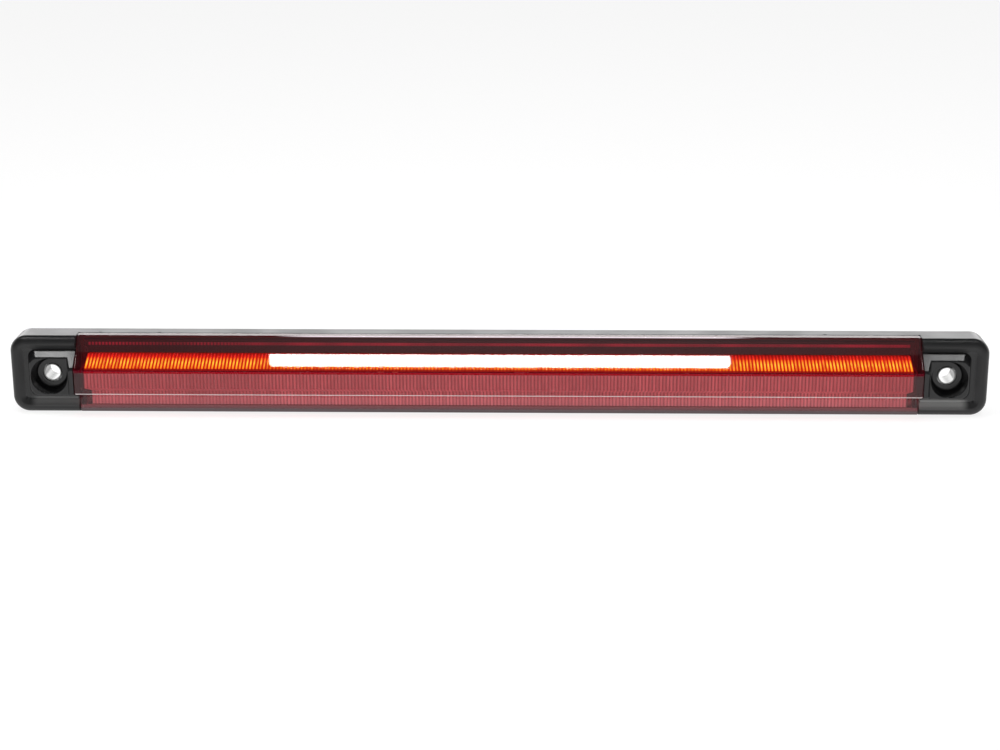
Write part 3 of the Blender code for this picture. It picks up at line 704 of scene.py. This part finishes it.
def guide_material():
    """Clear guide with a painted glow: painted highlights in yellow on the rib crests, standing in for
    reflections of the overhead light, red grooves, and painted shade darker towards the top and below the
    slant.
    """
    made, tree, shader, place = start_material("lit_guide")
    x, y, z = axes(tree, place)
    level = add_level(tree, z, z_at(GUIDE_FOOT), z_at(slant_inside(GUIDE_START, 2 * GAP)))
    vary = add_streaks(tree, place, (700.0, 150.0, 150.0))
    crest = add_product(tree, rib_mask(tree, x, y, 0.30, 0.47), add_range(tree, vary, 0.3, 0.6, 0.35, 1.0))
    groove_stops = (
        (0.0, (0.14, 0.002, 0.001)),
        (0.13, (0.18, 0.003, 0.001)),
        (0.17, (0.60, 0.020, 0.001)),
        (0.72, (0.54, 0.008, 0.001)),
        (0.80, (0.42, 0.003, 0.001)),
        (1.0, (0.14, 0.001, 0.001)),
    )
    crest_stops = (
        (0.0, (0.16, 0.002, 0.001)),
        (0.13, (0.24, 0.004, 0.001)),
        (0.17, (1.25, 1.20, 0.02)),
        (0.50, (1.40, 2.70, 0.14)),
        (0.70, (1.25, 1.10, 0.03)),
        (0.79, (1.00, 0.10, 0.01)),
        (0.90, (0.80, 0.02, 0.004)),
        (1.0, (0.40, 0.01, 0.002)),
    )
    # Painted light: the yellow on the crests is a painted highlight, and the fall-off by height is painted
    # shade.
    glow = add_mix(tree, crest, add_ramp(tree, level, groove_stops), add_ramp(tree, level, crest_stops))
    set_inputs(tree, shader, {
        "Base Color": add_ramp(tree, vary, ((0.3, (0.20, 0.06, 0.02)), (0.7, (0.30, 0.10, 0.04)))),
        "Emission Color": glow,
        "Emission Strength": 1.0,
        "Roughness": 0.25,
    })
    return made


def panel_material():
    """Pale reflector plastic with painted light: a painted glow, painted light on the rib crests that is
    uneven and darker to the left, paler lower down, and a painted dark red band along its top edge.
    """
    made, tree, shader, place = start_material("ribbed_panel")
    x, y, z = axes(tree, place)
    vary = add_streaks(tree, place, (900.0, 40.0, 90.0))
    slow = add_streaks(tree, place, (14.0, 1.0, 1.0))
    # Painted light on the ribs: brighter crests, uneven, and darker towards the left.
    bright = add_product(
        tree,
        rib_mask(tree, x, y, 0.1, 0.5),
        add_range(tree, vary, 0.25, 0.75, 0.45, 1.0),
        add_range(tree, slow, 0.40, 0.55, 0.65, 1.05),
        add_step(tree, x, -170.0, -30.0, 0.72, 1.0),
    )
    # Painted shade and glow: a dark red band along the top edge.
    top = z_at(GUIDE_FOOT + PANEL_GAP + PANEL_PAINTED_EDGE)
    painted_red_edge = add_step(tree, z, top - 0.1, top + 0.1)
    lower = add_step(tree, z, z_at(26.0), z_at(26.8))
    colour = add_ramp(tree, bright, ((0.0, (0.30, 0.22, 0.23)), (1.0, (0.58, 0.46, 0.47))))
    upper_glow = add_ramp(tree, bright, ((0.0, (0.08, 0.035, 0.035)), (1.0, (0.25, 0.155, 0.155))))
    lower_glow = add_ramp(tree, bright, ((0.0, (0.19, 0.16, 0.16)), (1.0, (0.38, 0.34, 0.34))))
    glow = add_mix(tree, lower, upper_glow, lower_glow)
    set_inputs(tree, shader, {
        "Base Color": add_mix(tree, painted_red_edge, colour, (0.02, 0.006, 0.006, 1.0)),
        "Emission Color": add_mix(tree, painted_red_edge, glow, (0.26, 0.004, 0.008, 1.0)),
        "Emission Strength": 1.0,
        "Roughness": 0.32,
    })
    return made


def shield_material():
    """Black plastic, and a lip with a painted dark red glow, standing in for the light it catches from the
    guide: in small dots at one end, and evenly at the other.
    """
    made, tree, shader, place = start_material("lipped_shield")
    x, y, z = axes(tree, place)
    edge = z_at(LIP_GLOW_END)
    lip = add_step(tree, z, edge - 0.1, edge + 0.1)
    vary = add_streaks(tree, place, (60.0, 10.0, 10.0), 3.0)
    even = add_step(tree, x, -120.0, -95.0, 0.0, 0.85)
    crest = add_math(tree, "MAXIMUM", rib_mask(tree, x, y, 0.1, 0.5), even)
    glow = add_product(tree, crest, add_range(tree, vary, 0.3, 0.7, 0.45, 1.0), lip)
    set_inputs(tree, shader, {
        "Base Color": add_ramp(tree, vary, ((0.3, (0.012, 0.010, 0.011)), (0.7, (0.020, 0.016, 0.018)))),
        "Emission Color": add_ramp(tree, glow, ((0.0, (0.0, 0.0, 0.0)), (1.0, (0.30, 0.020, 0.055)))),
        "Emission Strength": 1.0,
        "Roughness": 0.35,
    })
    return made


def foam_material():
    """Closed-cell foam."""
    made, tree, shader, place = start_material("gasket_foam")
    cells = add_node(tree, "ShaderNodeTexVoronoi", {"Vector": place, "Scale": 1800.0}).outputs["Distance"]
    set_inputs(tree, shader, {
        "Base Color": add_ramp(tree, cells, ((0.1, (0.012, 0.012, 0.013)), (0.8, (0.045, 0.045, 0.047)))),
        "Roughness": add_range(tree, cells, 0.0, 0.8, 0.98, 0.82),
    })
    set_bump(tree, shader, cells, 0.6, 0.0002)
    return made


def board_material():
    """Green solder mask over copper tracks."""
    made, tree, shader, place = start_material("solder_mask")
    turned_inputs = {"Vector": place, "Rotation": (math.pi / 2, 0.0, 0.0)}
    turned = add_node(tree, "ShaderNodeMapping", turned_inputs).outputs[0]
    bricks = {"Vector": turned, "Scale": 90.0, "Mortar Size": 0.05, "Brick Width": 0.9, "Row Height": 0.22}
    tracks = add_node(tree, "ShaderNodeTexBrick", bricks).outputs["Fac"]
    weave = add_noise(tree, place, 1500.0, 2.0)
    mask = add_ramp(tree, weave, ((0.3, (0.010, 0.085, 0.028)), (0.7, (0.016, 0.115, 0.040))))
    set_inputs(tree, shader, {
        "Base Color": add_mix(tree, tracks, mask, (0.006, 0.045, 0.016, 1.0)),
        "Roughness": add_range(tree, weave, 0.2, 0.8, 0.30, 0.42),
    })
    set_bump(tree, shader, tracks, 0.3, 0.00005)
    return made


def led_material():
    """White package that glows warm."""
    made, tree, shader, place = start_material("lit_led")
    cloud = add_noise(tree, place, 900.0, 3.0)
    set_inputs(tree, shader, {
        "Base Color": add_ramp(tree, cloud, ((0.3, (0.86, 0.80, 0.55)), (0.7, (0.95, 0.92, 0.80)))),
        "Emission Color": (1.0, 0.55, 0.20, 1.0),
        "Emission Strength": 1.5,
        "Roughness": 0.3,
    })
    return made


# The housing


def fill_body(bm):
    """The bar with its rim: up the outside, round the fillet, over the soft crest and down inside."""
    levels = [(BACK_EDGE - along - SHOULDER, inset) for along, inset in quarter(BACK_EDGE)[::-1]]
    levels += quarter(RIM_FILLET, FILLET_STEPS)
    slope = [
        (RIM_FILLET, RIM_FILLET),
        (RIM_FILLET, RIM_CREST_END),
        (RIM_FLOOR, RIM_FLOOR_START),
        (RIM_FLOOR, RIM_FLOOR_START + RIM_FLOOR_WIDTH),
    ]
    levels += rounded(slope, [0.0, RIM_SOFT, RIM_SOFT, 0.0], SMALL_STEPS)[1:]
    loft_y(bm, *[(forward, frame_outline(inset)) for forward, inset in levels])


def end_outline(side, inner, out, z0, z1, corner, steps):
    """A rectangle at one end of the housing, with its outer corners rounded."""
    points = [(side * inner, z0), (side * out, z0), (side * out, z1), (side * inner, z1)]
    return rounded(points, [0.0, corner, corner, 0.0], steps)


def pad_ring(forward, side, inner, inset=0.0):
    """Outline of the screw pad at one depth."""
    out = PAD_OUT + (PAD_FRONT - forward) * PAD_DRAFT - inset
    z0 = z_at(foot_line(forward) - PAD_INSET) + inset
    z1 = z_at(top_line(forward) + PAD_INSET) - inset
    return end_outline(side, inner, out, z0, z1, PAD_CORNER - inset, CORNER_STEPS)


def fill_pad(side):
    inner = LENS_HALF - END_OVERLAP
    levels = [(PAD_BACK, pad_ring(PAD_BACK, side, inner))]
    for along, inset in quarter(PAD_EDGE):
        forward = PAD_FRONT - PAD_EDGE + along
        levels.append((forward, pad_ring(forward, side, inner, inset)))
    return lambda bm: loft_y(bm, *levels)


def strip_levels():
    """(forward, down) along the top of the strip beside the lens: a slanted face with a round foot."""
    turn = math.atan2(SLANT_RUN, SLANT_DROP)
    foot = SLANT[1] + SLANT_ROUND * math.tan(turn / 2)
    levels = [(STRIP_BACK, top_line(STRIP_BACK))]
    for k in range(FILLET_STEPS, -1, -1):
        angle = turn * k / FILLET_STEPS
        forward = SLANT[0] - SLANT_ROUND * (1 - math.cos(angle))
        levels.append((forward, foot - SLANT_ROUND * math.sin(angle)))
    return levels


def strip_ring(forward, top, side, inner):
    out = PAD_IN + (PAD_FRONT - forward) * PAD_DRAFT
    return end_outline(side, inner, out, z_at(foot_line(forward)), z_at(top), STRIP_CORNER, SMALL_STEPS)


def fill_strip(side):
    inner = LENS_HALF - END_OVERLAP + GAP
    return lambda bm: loft_y(bm, *[(f, strip_ring(f, top, side, inner)) for f, top in strip_levels()])


def fill_dish(side):
    """The counterbore: a mouth with a soft lip, a leaning wall and a floor with a rounded edge."""
    slope = (DISH_MOUTH - DISH_FLOOR_RADIUS) / (PAD_FRONT - DISH_FLOOR)

    def radius(forward):
        return DISH_FLOOR_RADIUS + (forward - DISH_FLOOR) * slope

    levels = []
    for along, inset in quarter(DISH_FILLET):
        forward = DISH_FLOOR + DISH_FILLET - along
        levels.append((forward, radius(forward) - inset))
    levels = levels[::-1]
    for along, inset in quarter(DISH_LIP):
        forward = PAD_FRONT - DISH_LIP + along
        levels.append((forward, radius(forward) + inset))
    levels.append((PAD_FRONT + OVERCUT, levels[-1][1]))
    return lambda bm: loft_y(bm, *[(f, circle(side * SCREW_X, 0.0, r)) for f, r in levels])


def fill_screw_hole(side):
    outline = circle(side * SCREW_X, 0.0, SLEEVE_OUTER + GAP)
    return lambda bm: loft_y(bm, (BEHIND, outline), (DISH_FLOOR + OVERCUT, outline))


def fill_ear_pocket(side):
    """The hollow behind each ear, round the tube that the sleeve sits in."""
    middle = side * SCREW_X
    low, high = middle - POCKET_HALF, middle + POCKET_HALF
    pocket = box_outline(low, high, -POCKET_HALF, POCKET_HALF, POCKET_CORNER)
    tube = circle(middle, 0.0, POCKET_TUBE, len(pocket))
    start = min(range(len(tube)), key=lambda i: tube[i][0] + tube[i][1])
    tube = tube[start:] + tube[:start]
    back, front = BEHIND, POCKET_FRONT
    return lambda bm: band_y(bm, (back, pocket), (front, pocket), (front, tube), (back, tube))


def fill_lens_place(bm):
    half = LENS_HALF + GAP
    add_box(bm, -half, half, STEP, NOSE + OVERCUT, -OVERCUT, HEIGHT + OVERCUT)


def fill_nose_place(bm):
    half = LENS_NOSE_HALF + GAP
    add_box(bm, -half, half, BAND[0], NOSE + 2 * OVERCUT, LENS_NOSE_TOP, BAND[1] + 2 * GAP)


def fill_notches(bm):
    for x in NOTCHES_X:
        add_box(bm, x - NOTCH_HALF, x + NOTCH_HALF, STEP - NOTCH_HALF, STEP + OVERCUT, -OVERCUT, WALL / 2)


def spigot_size():
    """Half its length, and how far down its top and its foot lie."""
    return LENS_HALF - WALL - GAP, WALL + GAP, HEIGHT - WALL - GAP


def fill_spigot(bm):
    half, top, foot = spigot_size()
    add_box(bm, -half, half, REAR + BACK_WALL / 2, SPIGOT_FRONT, top, foot)


def fill_tub(bm):
    half, top, foot = spigot_size()
    half, top, foot = half - SPIGOT_THICK, top + SPIGOT_THICK, foot - SPIGOT_THICK
    add_box(bm, -half, half, REAR + BACK_WALL, NOSE, top, foot)


def panel_low_front():
    return BAND[0] - WALL - PANEL_GAP


def fill_panel_way(bm):
    """Where the foot of the reflector passes in front of the spigot's lower wall."""
    half = INSERT_HALF + GAP
    back, front = panel_low_front() - PANEL_THICK - GAP, SPIGOT_FRONT + OVERCUT
    _, _, foot = spigot_size()
    add_box(bm, -half, half, back, front, foot - SPIGOT_THICK - OVERCUT, foot + GAP)


def fill_posts(bm):
    back, front = REAR + BACK_WALL / 2, BOARD_FRONT - BOARD_THICK - GAP
    add_rods(bm, BOARD_SCREWS, z_at(SCREW_DOWN), POST_RADIUS, back, front)


def fill_post_holes(bm):
    add_rods(bm, BOARD_SCREWS, z_at(SCREW_DOWN), POST_HOLE, REAR + POST_END, BOARD_FRONT)


def fill_gasket_groove(bm):
    back, front = BEHIND, REAR + GASKET_DEPTH + GAP
    outer, inner = frame_outline(GASKET_INSET - GAP), frame_outline(GASKET_INSET + GASKET_WIDTH + GAP)
    band_y(bm, (back, outer), (front, outer), (front, inner), (back, inner))


def socket_outline(half_x, half_z, corner):
    return box_outline(SOCKET_X - half_x, SOCKET_X + half_x, -half_z, half_z, corner, SMALL_STEPS)


def fill_back_openings(bm):
    half_x, half_z, corner = SOCKET_PLUG
    window = socket_outline(half_x + GAP, half_z + GAP, corner + GAP)
    breather = circle(VENT_X, 0.0, VENT_STEM + GAP, len(window))
    for outline in (window, breather):
        loft_y(bm, (BEHIND, outline), (REAR + BACK_WALL + OVERCUT, outline))


def fill_marks(bm):
    add_rods(bm, MARKS_X, MARKS_Z, MARK_RADIUS, BEHIND, REAR + MARK_DEPTH)


def make_housing():
    housing = new_object("housing_shell", fill_body)
    steps = []
    for side in (-1, 1):
        steps += [(ADD, fill_pad(side)), (ADD, fill_strip(side)), (CUT, fill_dish(side))]
        steps += [(CUT, fill_screw_hole(side)), (CUT, fill_ear_pocket(side))]
    steps += [(CUT, fill_lens_place), (CUT, fill_nose_place), (CUT, fill_notches)]
    steps += [(ADD, fill_spigot), (CUT, fill_tub), (CUT, fill_panel_way)]
    steps += [(ADD, fill_posts), (CUT, fill_post_holes), (CUT, fill_gasket_groove)]
    steps += [(CUT, fill_back_openings), (CUT, fill_marks)]
    carve(housing, steps)
    finish_piece(housing, housing_material(), ["housing"])


# The lens and its seal


def lens_line():
    """The front of the lens in section, from the top's back edge to the bottom's back edge."""
    ends = [(BAND[0], HEIGHT), (-LENS_SKIRT, HEIGHT)]
    return [(-LENS_SKIRT, 0.0), (0.0, 0.0), LEAN, SLANT, CHIN, BAND] + ends


def lens_section(inset):
    """The lens's outside in section, moved in by inset."""
    line = offset(lens_line(), inset)
    line[0] = (-LENS_SKIRT, line[0][1])
    line[-1] = (-LENS_SKIRT, line[-1][1])
    return rounded(line, LENS_EDGES, FILLET_STEPS)


def fill_lens_outer(bm):
    levels = []
    for along, inset in quarter(LENS_END_EDGE):
        levels.append((LENS_NOSE_HALF - LENS_END_EDGE + along, lens_section(inset)))
    mirrored = [(-x, section) for x, section in levels[::-1]]
    loft_x(bm, mirrored + levels)


def fill_lens_ends(bm):
    """What is taken off each end, so that only the nose reaches its full length."""
    for side in (-1, 1):
        x0, x1 = sorted((side * LENS_HALF, side * (LENS_NOSE_HALF + OVERCUT)))
        add_box(bm, x0, x1, -LENS_SKIRT - OVERCUT, LENS_NOSE_START, -OVERCUT, HEIGHT + OVERCUT)


def fill_lens_hollow(bm):
    inner = offset(lens_line(), WALL)
    inner[0] = (inner[0][0] - OVERCUT, inner[0][1])
    inner[-1] = (inner[-1][0] - OVERCUT, inner[-1][1])
    section = rounded(inner, LENS_INNER_EDGES, SMALL_STEPS)
    half = LENS_HALF - WALL
    loft_x(bm, [(-half, section), (half, section)])


def make_lens():
    lens = new_object("lens_shell", fill_lens_outer)
    carve(lens, [(CUT, fill_lens_ends), (CUT, fill_lens_hollow)])
    finish_piece(lens, lens_material(), ["lens"])


def make_lens_seal():
    """A rubber ring that fills the groove between the lens and the housing."""

    def build(bm):
        half = LENS_HALF - GAP
        back, front = STEP + SEAL_GAP, -LENS_SKIRT - SEAL_GAP
        inner_half, inner_top, _ = spigot_size()
        inner_half, inner_top = inner_half + GAP, inner_top - GAP
        inner = box_outline(-inner_half, inner_half, -z_at(inner_top), z_at(inner_top), GAP, SMALL_STEPS)
        levels = [(back, inner)]
        edge = quarter(SEAL_EDGE)
        rings = [(back + SEAL_EDGE - along, inset) for along, inset in edge[::-1]]
        rings += [(front - SEAL_EDGE + along, inset) for along, inset in edge]
        for forward, inset in rings:
            reach, top = half - inset, z_at(SEAL_INSET + inset)
            levels.append((forward, box_outline(-reach, reach, -top, top, 2 * GAP - inset / 2, SMALL_STEPS)))
        levels.append((front, inner))
        band_y(bm, *levels)

    seal = new_object("square_seal", build)
    rubber = moulded("seal_rubber", (0.020, 0.008, 0.010), 0.33, shine=0.5)
    finish_piece(seal, rubber, ["lens_seal"])


# What stands behind the lens


def rib_columns(depth):
    """(x, depth) along a ribbed face: round ribs with sharp grooves between them."""
    count = round(2 * INSERT_HALF / RIB_PITCH)
    columns = []
    for i in range(count * RIB_POINTS + 1):
        turn = math.pi * (i % RIB_POINTS) / RIB_POINTS
        columns.append((-INSERT_HALF + RIB_PITCH * i / RIB_POINTS, depth * (1 - math.sin(turn))))
    return columns


def spread(a, b, steps):
    """Points from a to b, without b."""
    return [(a[0] + (b[0] - a[0]) * k / steps, a[1] + (b[1] - a[1]) * k / steps) for k in range(steps)]


def ribbed(name, front, back, inward, depth):
    """A long piece whose front line is ribbed: inward is the (forward, down) way that grooves are cut."""

    def build(bm):
        rings = []
        for x, cut in rib_columns(depth):
            face = [(f + inward[0] * cut, d + inward[1] * cut) for f, d in front]
            rings.append([(x * fan(f), y_at(f), z_at(d)) for f, d in face + back])
        add_loft(bm, rings)

    return new_object(name, build)


def make_light_guide():
    length = math.hypot(SLANT_RUN, SLANT_DROP)
    start = (GUIDE_START, slant_inside(GUIDE_START, 2 * GAP))
    end = (GUIDE_FRONT, slant_inside(GUIDE_FRONT, 2 * GAP))
    front = spread(start, end, 6) + [end]
    back = [(GUIDE_FRONT, GUIDE_FOOT), (GUIDE_REAR, GUIDE_FOOT), (GUIDE_REAR, GUIDE_TOP)]
    inward = (-SLANT_DROP / length, SLANT_RUN / length)
    guide = ribbed("ribbed_guide", front, back, inward, GUIDE_RIB)
    finish_piece(guide, guide_material(), ["light_guide"], 50.0)


def make_reflector():
    low = panel_low_front()
    line = [
        (PANEL_FRONT, GUIDE_FOOT + PANEL_GAP),
        (PANEL_FRONT, foot_inside(PANEL_FRONT, 2 * GAP)),
        (low, foot_inside(low, 2 * GAP)),
        (low, PANEL_FOOT),
    ]
    front = []
    for start, end, steps in zip(line, line[1:], (4, 3, 3)):
        front += spread(start, end, steps)
    front.append(line[-1])
    panel = ribbed("ribbed_reflector", front, offset(line, PANEL_THICK)[::-1], (-1.0, 0.0), PANEL_RIB)
    finish_piece(panel, panel_material(), ["reflector"], 50.0)


def make_light_shield():
    """The dark wall above the guide, with a ribbed lip along its top."""
    shield = ribbed("lipped_shield", LIP_FACE, SHIELD_BACK, (-1.0, 0.0), LIP_RIB)
    finish_piece(shield, shield_material(), ["light_shield"], 50.0)


# The back and the ends


def make_sleeves():
    """The steel tubes that the screws go through, with a rounded end."""
    finish = metal("turned_steel", (0.30, 0.30, 0.295), 0.22, (900.0, 5200.0, 900.0))
    front = DISH_FLOOR + SLEEVE_PROUD
    for side, word in ((-1, "left"), (1, "right")):
        levels = [(REAR, SLEEVE_OUTER)]
        for along, inset in quarter(SLEEVE_EDGE):
            levels.append((front - SLEEVE_EDGE + along, SLEEVE_OUTER - inset / 2))
        for along, inset in quarter(SLEEVE_EDGE)[::-1]:
            levels.append((front - SLEEVE_EDGE + along, SLEEVE_BORE + inset / 2))
        levels.append((REAR, SLEEVE_BORE))
        rings = [(forward, circle(side * SCREW_X, 0.0, radius)) for forward, radius in levels]
        sleeve = new_object(word + "_turned_sleeve", lambda bm: band_y(bm, *rings))
        finish_piece(sleeve, finish, [word + "_sleeve"])


def make_rear_gasket():
    """A foam ring with rounded shoulders, glued into its groove."""
    back, front = REAR - GASKET_PROUD, REAR + GASKET_DEPTH
    width = GASKET_WIDTH
    rings = [(front, 0.0)]
    rings += [(back + GASKET_ROUND - along, inset) for along, inset in quarter(GASKET_ROUND)]
    rings += [(back + GASKET_ROUND - along, width - inset) for along, inset in quarter(GASKET_ROUND)[::-1]]
    rings.append((front, width))
    levels = [(forward, frame_outline(GASKET_INSET + inset)) for forward, inset in rings]
    gasket = new_object("foam_gasket", lambda bm: band_y(bm, *levels))
    finish_piece(gasket, foam_material(), ["rear_gasket"])


def make_vent_cap():
    """A low round cap with a soft crown, a ring groove and a stem through the wall."""
    seat = REAR - GAP
    face = seat - VENT_HEIGHT
    floor = face + VENT_RING_DEPTH
    levels = list(zip((face, floor, floor, face), VENT_RING))
    for along, inset in quarter(VENT_CROWN)[::-1]:
        levels.append((face + VENT_CROWN - along, VENT_RADIUS - inset))
    levels += [(seat, VENT_RADIUS), (seat, VENT_STEM), (seat + VENT_STEM_LENGTH, VENT_STEM)]
    rings = [(forward, circle(VENT_X, 0.0, radius)) for forward, radius in levels]
    cap = new_object("breather_cap", lambda bm: loft_y(bm, *rings))
    finish_piece(cap, moulded("vent_plastic", (0.020, 0.020, 0.022), 0.38), ["vent_cap"])


def make_socket():
    """A flanged socket with rounded edges, a latch ramp on top and a slot for each blade."""
    seat = REAR - GAP
    mouth, base = seat - SOCKET_LENGTH, seat - SOCKET_BASE
    edge = SOCKET_EDGE

    def shrunk(shape, inset):
        return socket_outline(shape[0] - inset, shape[1] - inset, max(shape[2] - inset, 0.1))

    levels = [(mouth + edge - along, shrunk(SOCKET_BODY, inset)) for along, inset in quarter(edge)[::-1]]
    levels.append((seat - FLANGE_THICK, shrunk(SOCKET_BODY, 0.0)))
    for along, inset in quarter(edge)[::-1]:
        levels.append((seat - FLANGE_THICK + edge - along, shrunk(SOCKET_FLANGE, inset)))
    levels += [(seat, shrunk(SOCKET_FLANGE, 0.0)), (seat, shrunk(SOCKET_PLUG, 0.0))]
    levels.append((seat + PLUG_LENGTH, shrunk(SOCKET_PLUG, 0.0)))

    def hollow(bm):
        lead = [(mouth - OVERCUT, -edge), (mouth, -edge), (mouth + edge, 0.0), (base, 0.0)]
        loft_y(bm, *[(forward, shrunk(SOCKET_MOUTH, inset)) for forward, inset in lead])

    def slots(bm):
        half_x, half_z = TERMINAL_SLOT
        for x in (SOCKET_X - TERMINAL_SPACING / 2, SOCKET_X + TERMINAL_SPACING / 2):
            outline = box_outline(x - half_x, x + half_x, -half_z, half_z)
            loft_y(bm, (base - OVERCUT, outline), (seat + PLUG_LENGTH + OVERCUT, outline))

    def latch(bm):
        top = HALF_HEIGHT - SOCKET_BODY[1]
        section = [(mouth + forward, top + down) for forward, down in LATCH_RAMP]
        loft_x(bm, [(SOCKET_X - LATCH_HALF, section), (SOCKET_X + LATCH_HALF, section)])

    socket = new_object("flanged_socket", lambda bm: loft_y(bm, *levels))
    carve(socket, [(ADD, latch), (CUT, hollow), (CUT, slots)])
    plastic = moulded("socket_plastic", (0.024, 0.024, 0.026), 0.34)
    finish_piece(socket, plastic, ["connector_socket"])


def dress_cad_nodes():
    """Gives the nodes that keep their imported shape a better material, found by how their names start."""
    chip = moulded("chip_epoxy", (0.018, 0.018, 0.020), 0.50)
    finishes = {
        "driver_chip": chip,
        "reverse_diode": chip,
        "resistor_": chip,
        "board_screw_": metal("zinc_plated", (0.68, 0.69, 0.72), 0.30, (1500.0, 1500.0, 1500.0)),
        "terminal_": metal("tinned_brass", (0.80, 0.63, 0.32), 0.28, (400.0, 3000.0, 400.0)),
        "capacitor": metal("aluminium_can", (0.78, 0.79, 0.81), 0.24, (2500.0, 500.0, 2500.0)),
        "led_": led_material(),
        "circuit_board": board_material(),
    }
    for name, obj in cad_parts.items():
        for start, finish in finishes.items():
            if name.startswith(start):
                obj.data.materials.clear()
                obj.data.materials.append(finish)


# The stage: floor, lights and camera


def add_sheet(name, outline, level, finish):
    """A flat stage piece: its outline and its level are in millimetres."""
    bm = bmesh.new()
    bm.faces.new([bm.verts.new((x, y, level)) for x, y in outline])
    sheet = mesh_object(name, bm)
    sheet.data.materials.append(finish)
    return sheet


def add_emitter(name, x_range, y_range, corner, radiance):
    """A flat soft light that hangs over the object: reflections show it, and the camera doesn't."""
    glow, tree, shader, _ = start_material(name)
    set_inputs(tree, shader, {
        "Base Color": (0.0, 0.0, 0.0, 1.0),
        "Emission Color": WHITE,
        "Emission Strength": radiance,
    })
    outline = box_outline(*x_range, *y_range, corner)[::-1]
    add_sheet(name, outline, EMITTER_LEVEL, glow).visible_camera = False


def make_floor():
    made, tree, shader, _ = start_material("pale_floor")
    set_inputs(tree, shader, {
        "Base Color": (0.24, 0.24, 0.24, 1.0),
        "Roughness": 0.9,
        "Specular IOR Level": 0.0,
        "Emission Color": WHITE,
        "Emission Strength": 0.84,
    })
    outline = box_outline(-FLOOR_HALF, FLOOR_HALF, -FLOOR_HALF, FLOOR_HALF)
    add_sheet("floor", outline, -HALF_HEIGHT - FLOOR_GAP, made)


def make_world():
    """Soft light: bright low down behind the object, dimmer in front of it and dark overhead."""
    world = bpy.data.worlds.new("studio")
    world.use_nodes = True
    tree = world.node_tree
    x, y, z = axes(tree, add_node(tree, "ShaderNodeTexCoord").outputs["Generated"])
    everywhere, from_behind, from_ahead = 0.06, 2.6, 0.5
    behind = add_product(tree, add_range(tree, y, 0.1, 0.7), add_range(tree, z, 0.55, 0.30))
    ahead = add_product(
        tree,
        add_range(tree, y, -0.2, -0.5),
        add_range(tree, add_math(tree, "ABSOLUTE", x), 0.06, 0.24, 1.0, 0.40),
        add_range(tree, z, 0.80, 0.68),
    )
    strength = add_math(tree, "MULTIPLY_ADD", behind, from_behind, everywhere)
    strength = add_math(tree, "MULTIPLY_ADD", ahead, from_ahead, strength)
    set_inputs(tree, tree.nodes["Background"], {"Color": WHITE, "Strength": strength})
    bpy.context.scene.world = world


def make_lights():
    """A strip light and two soft boxes to be mirrored, and a wide light that reflections don't show."""
    add_emitter("strip_light", STRIP_LIGHT_X, STRIP_LIGHT_Y, STRIP_LIGHT_CORNER, 28.0)
    add_emitter("left_softbox", LEFT_SOFTBOX_X, SOFTBOX_Y, SOFTBOX_CORNER, 13.0)
    add_emitter("right_softbox", RIGHT_SOFTBOX_X, SOFTBOX_Y, SOFTBOX_CORNER, 8.0)
    light = bpy.data.lights.new("top_light", "AREA")
    light.shape = "RECTANGLE"
    light.size, light.size_y = 1.2, 0.8
    light.energy = 9.0
    top = add_object("top_light", light)
    top.location = (0.0, -0.1, 1.2)
    top.visible_glossy = False
    top.visible_camera = False


def make_camera():
    """A long lens in front of the light, a little to its right and above it."""
    azimuth, elevation, roll = (math.radians(angle) for angle in (1.65, 16.7, -0.24))
    target, distance = Vector((0.0, -0.011, -0.00025)), 0.8201
    across = math.cos(elevation)
    back = Vector((math.sin(azimuth) * across, -math.cos(azimuth) * across, math.sin(elevation)))
    lens = bpy.data.cameras.new("camera")
    lens.lens = 72.0
    lens.sensor_width = 36.0
    lens.clip_start = 0.01
    lens.shift_x = 0.00315
    lens.shift_y = 0.00025
    camera = add_object("camera", lens)
    camera.location = target + back * distance
    camera.rotation_mode = "QUATERNION"
    turn = Quaternion((0.0, 0.0, 1.0), roll)
    camera.rotation_quaternion = (-back).to_track_quat("-Z", "Y") @ turn
    bpy.context.scene.camera = camera


def main():
    make_camera()
    make_floor()
    make_world()
    make_lights()
    make_housing()
    make_lens()
    make_lens_seal()
    make_light_guide()
    make_reflector()
    make_light_shield()
    make_sleeves()
    make_rear_gasket()
    make_vent_cap()
    make_socket()
    dress_cad_nodes()
    bpy.context.scene.view_settings.view_transform = "Standard"


main()
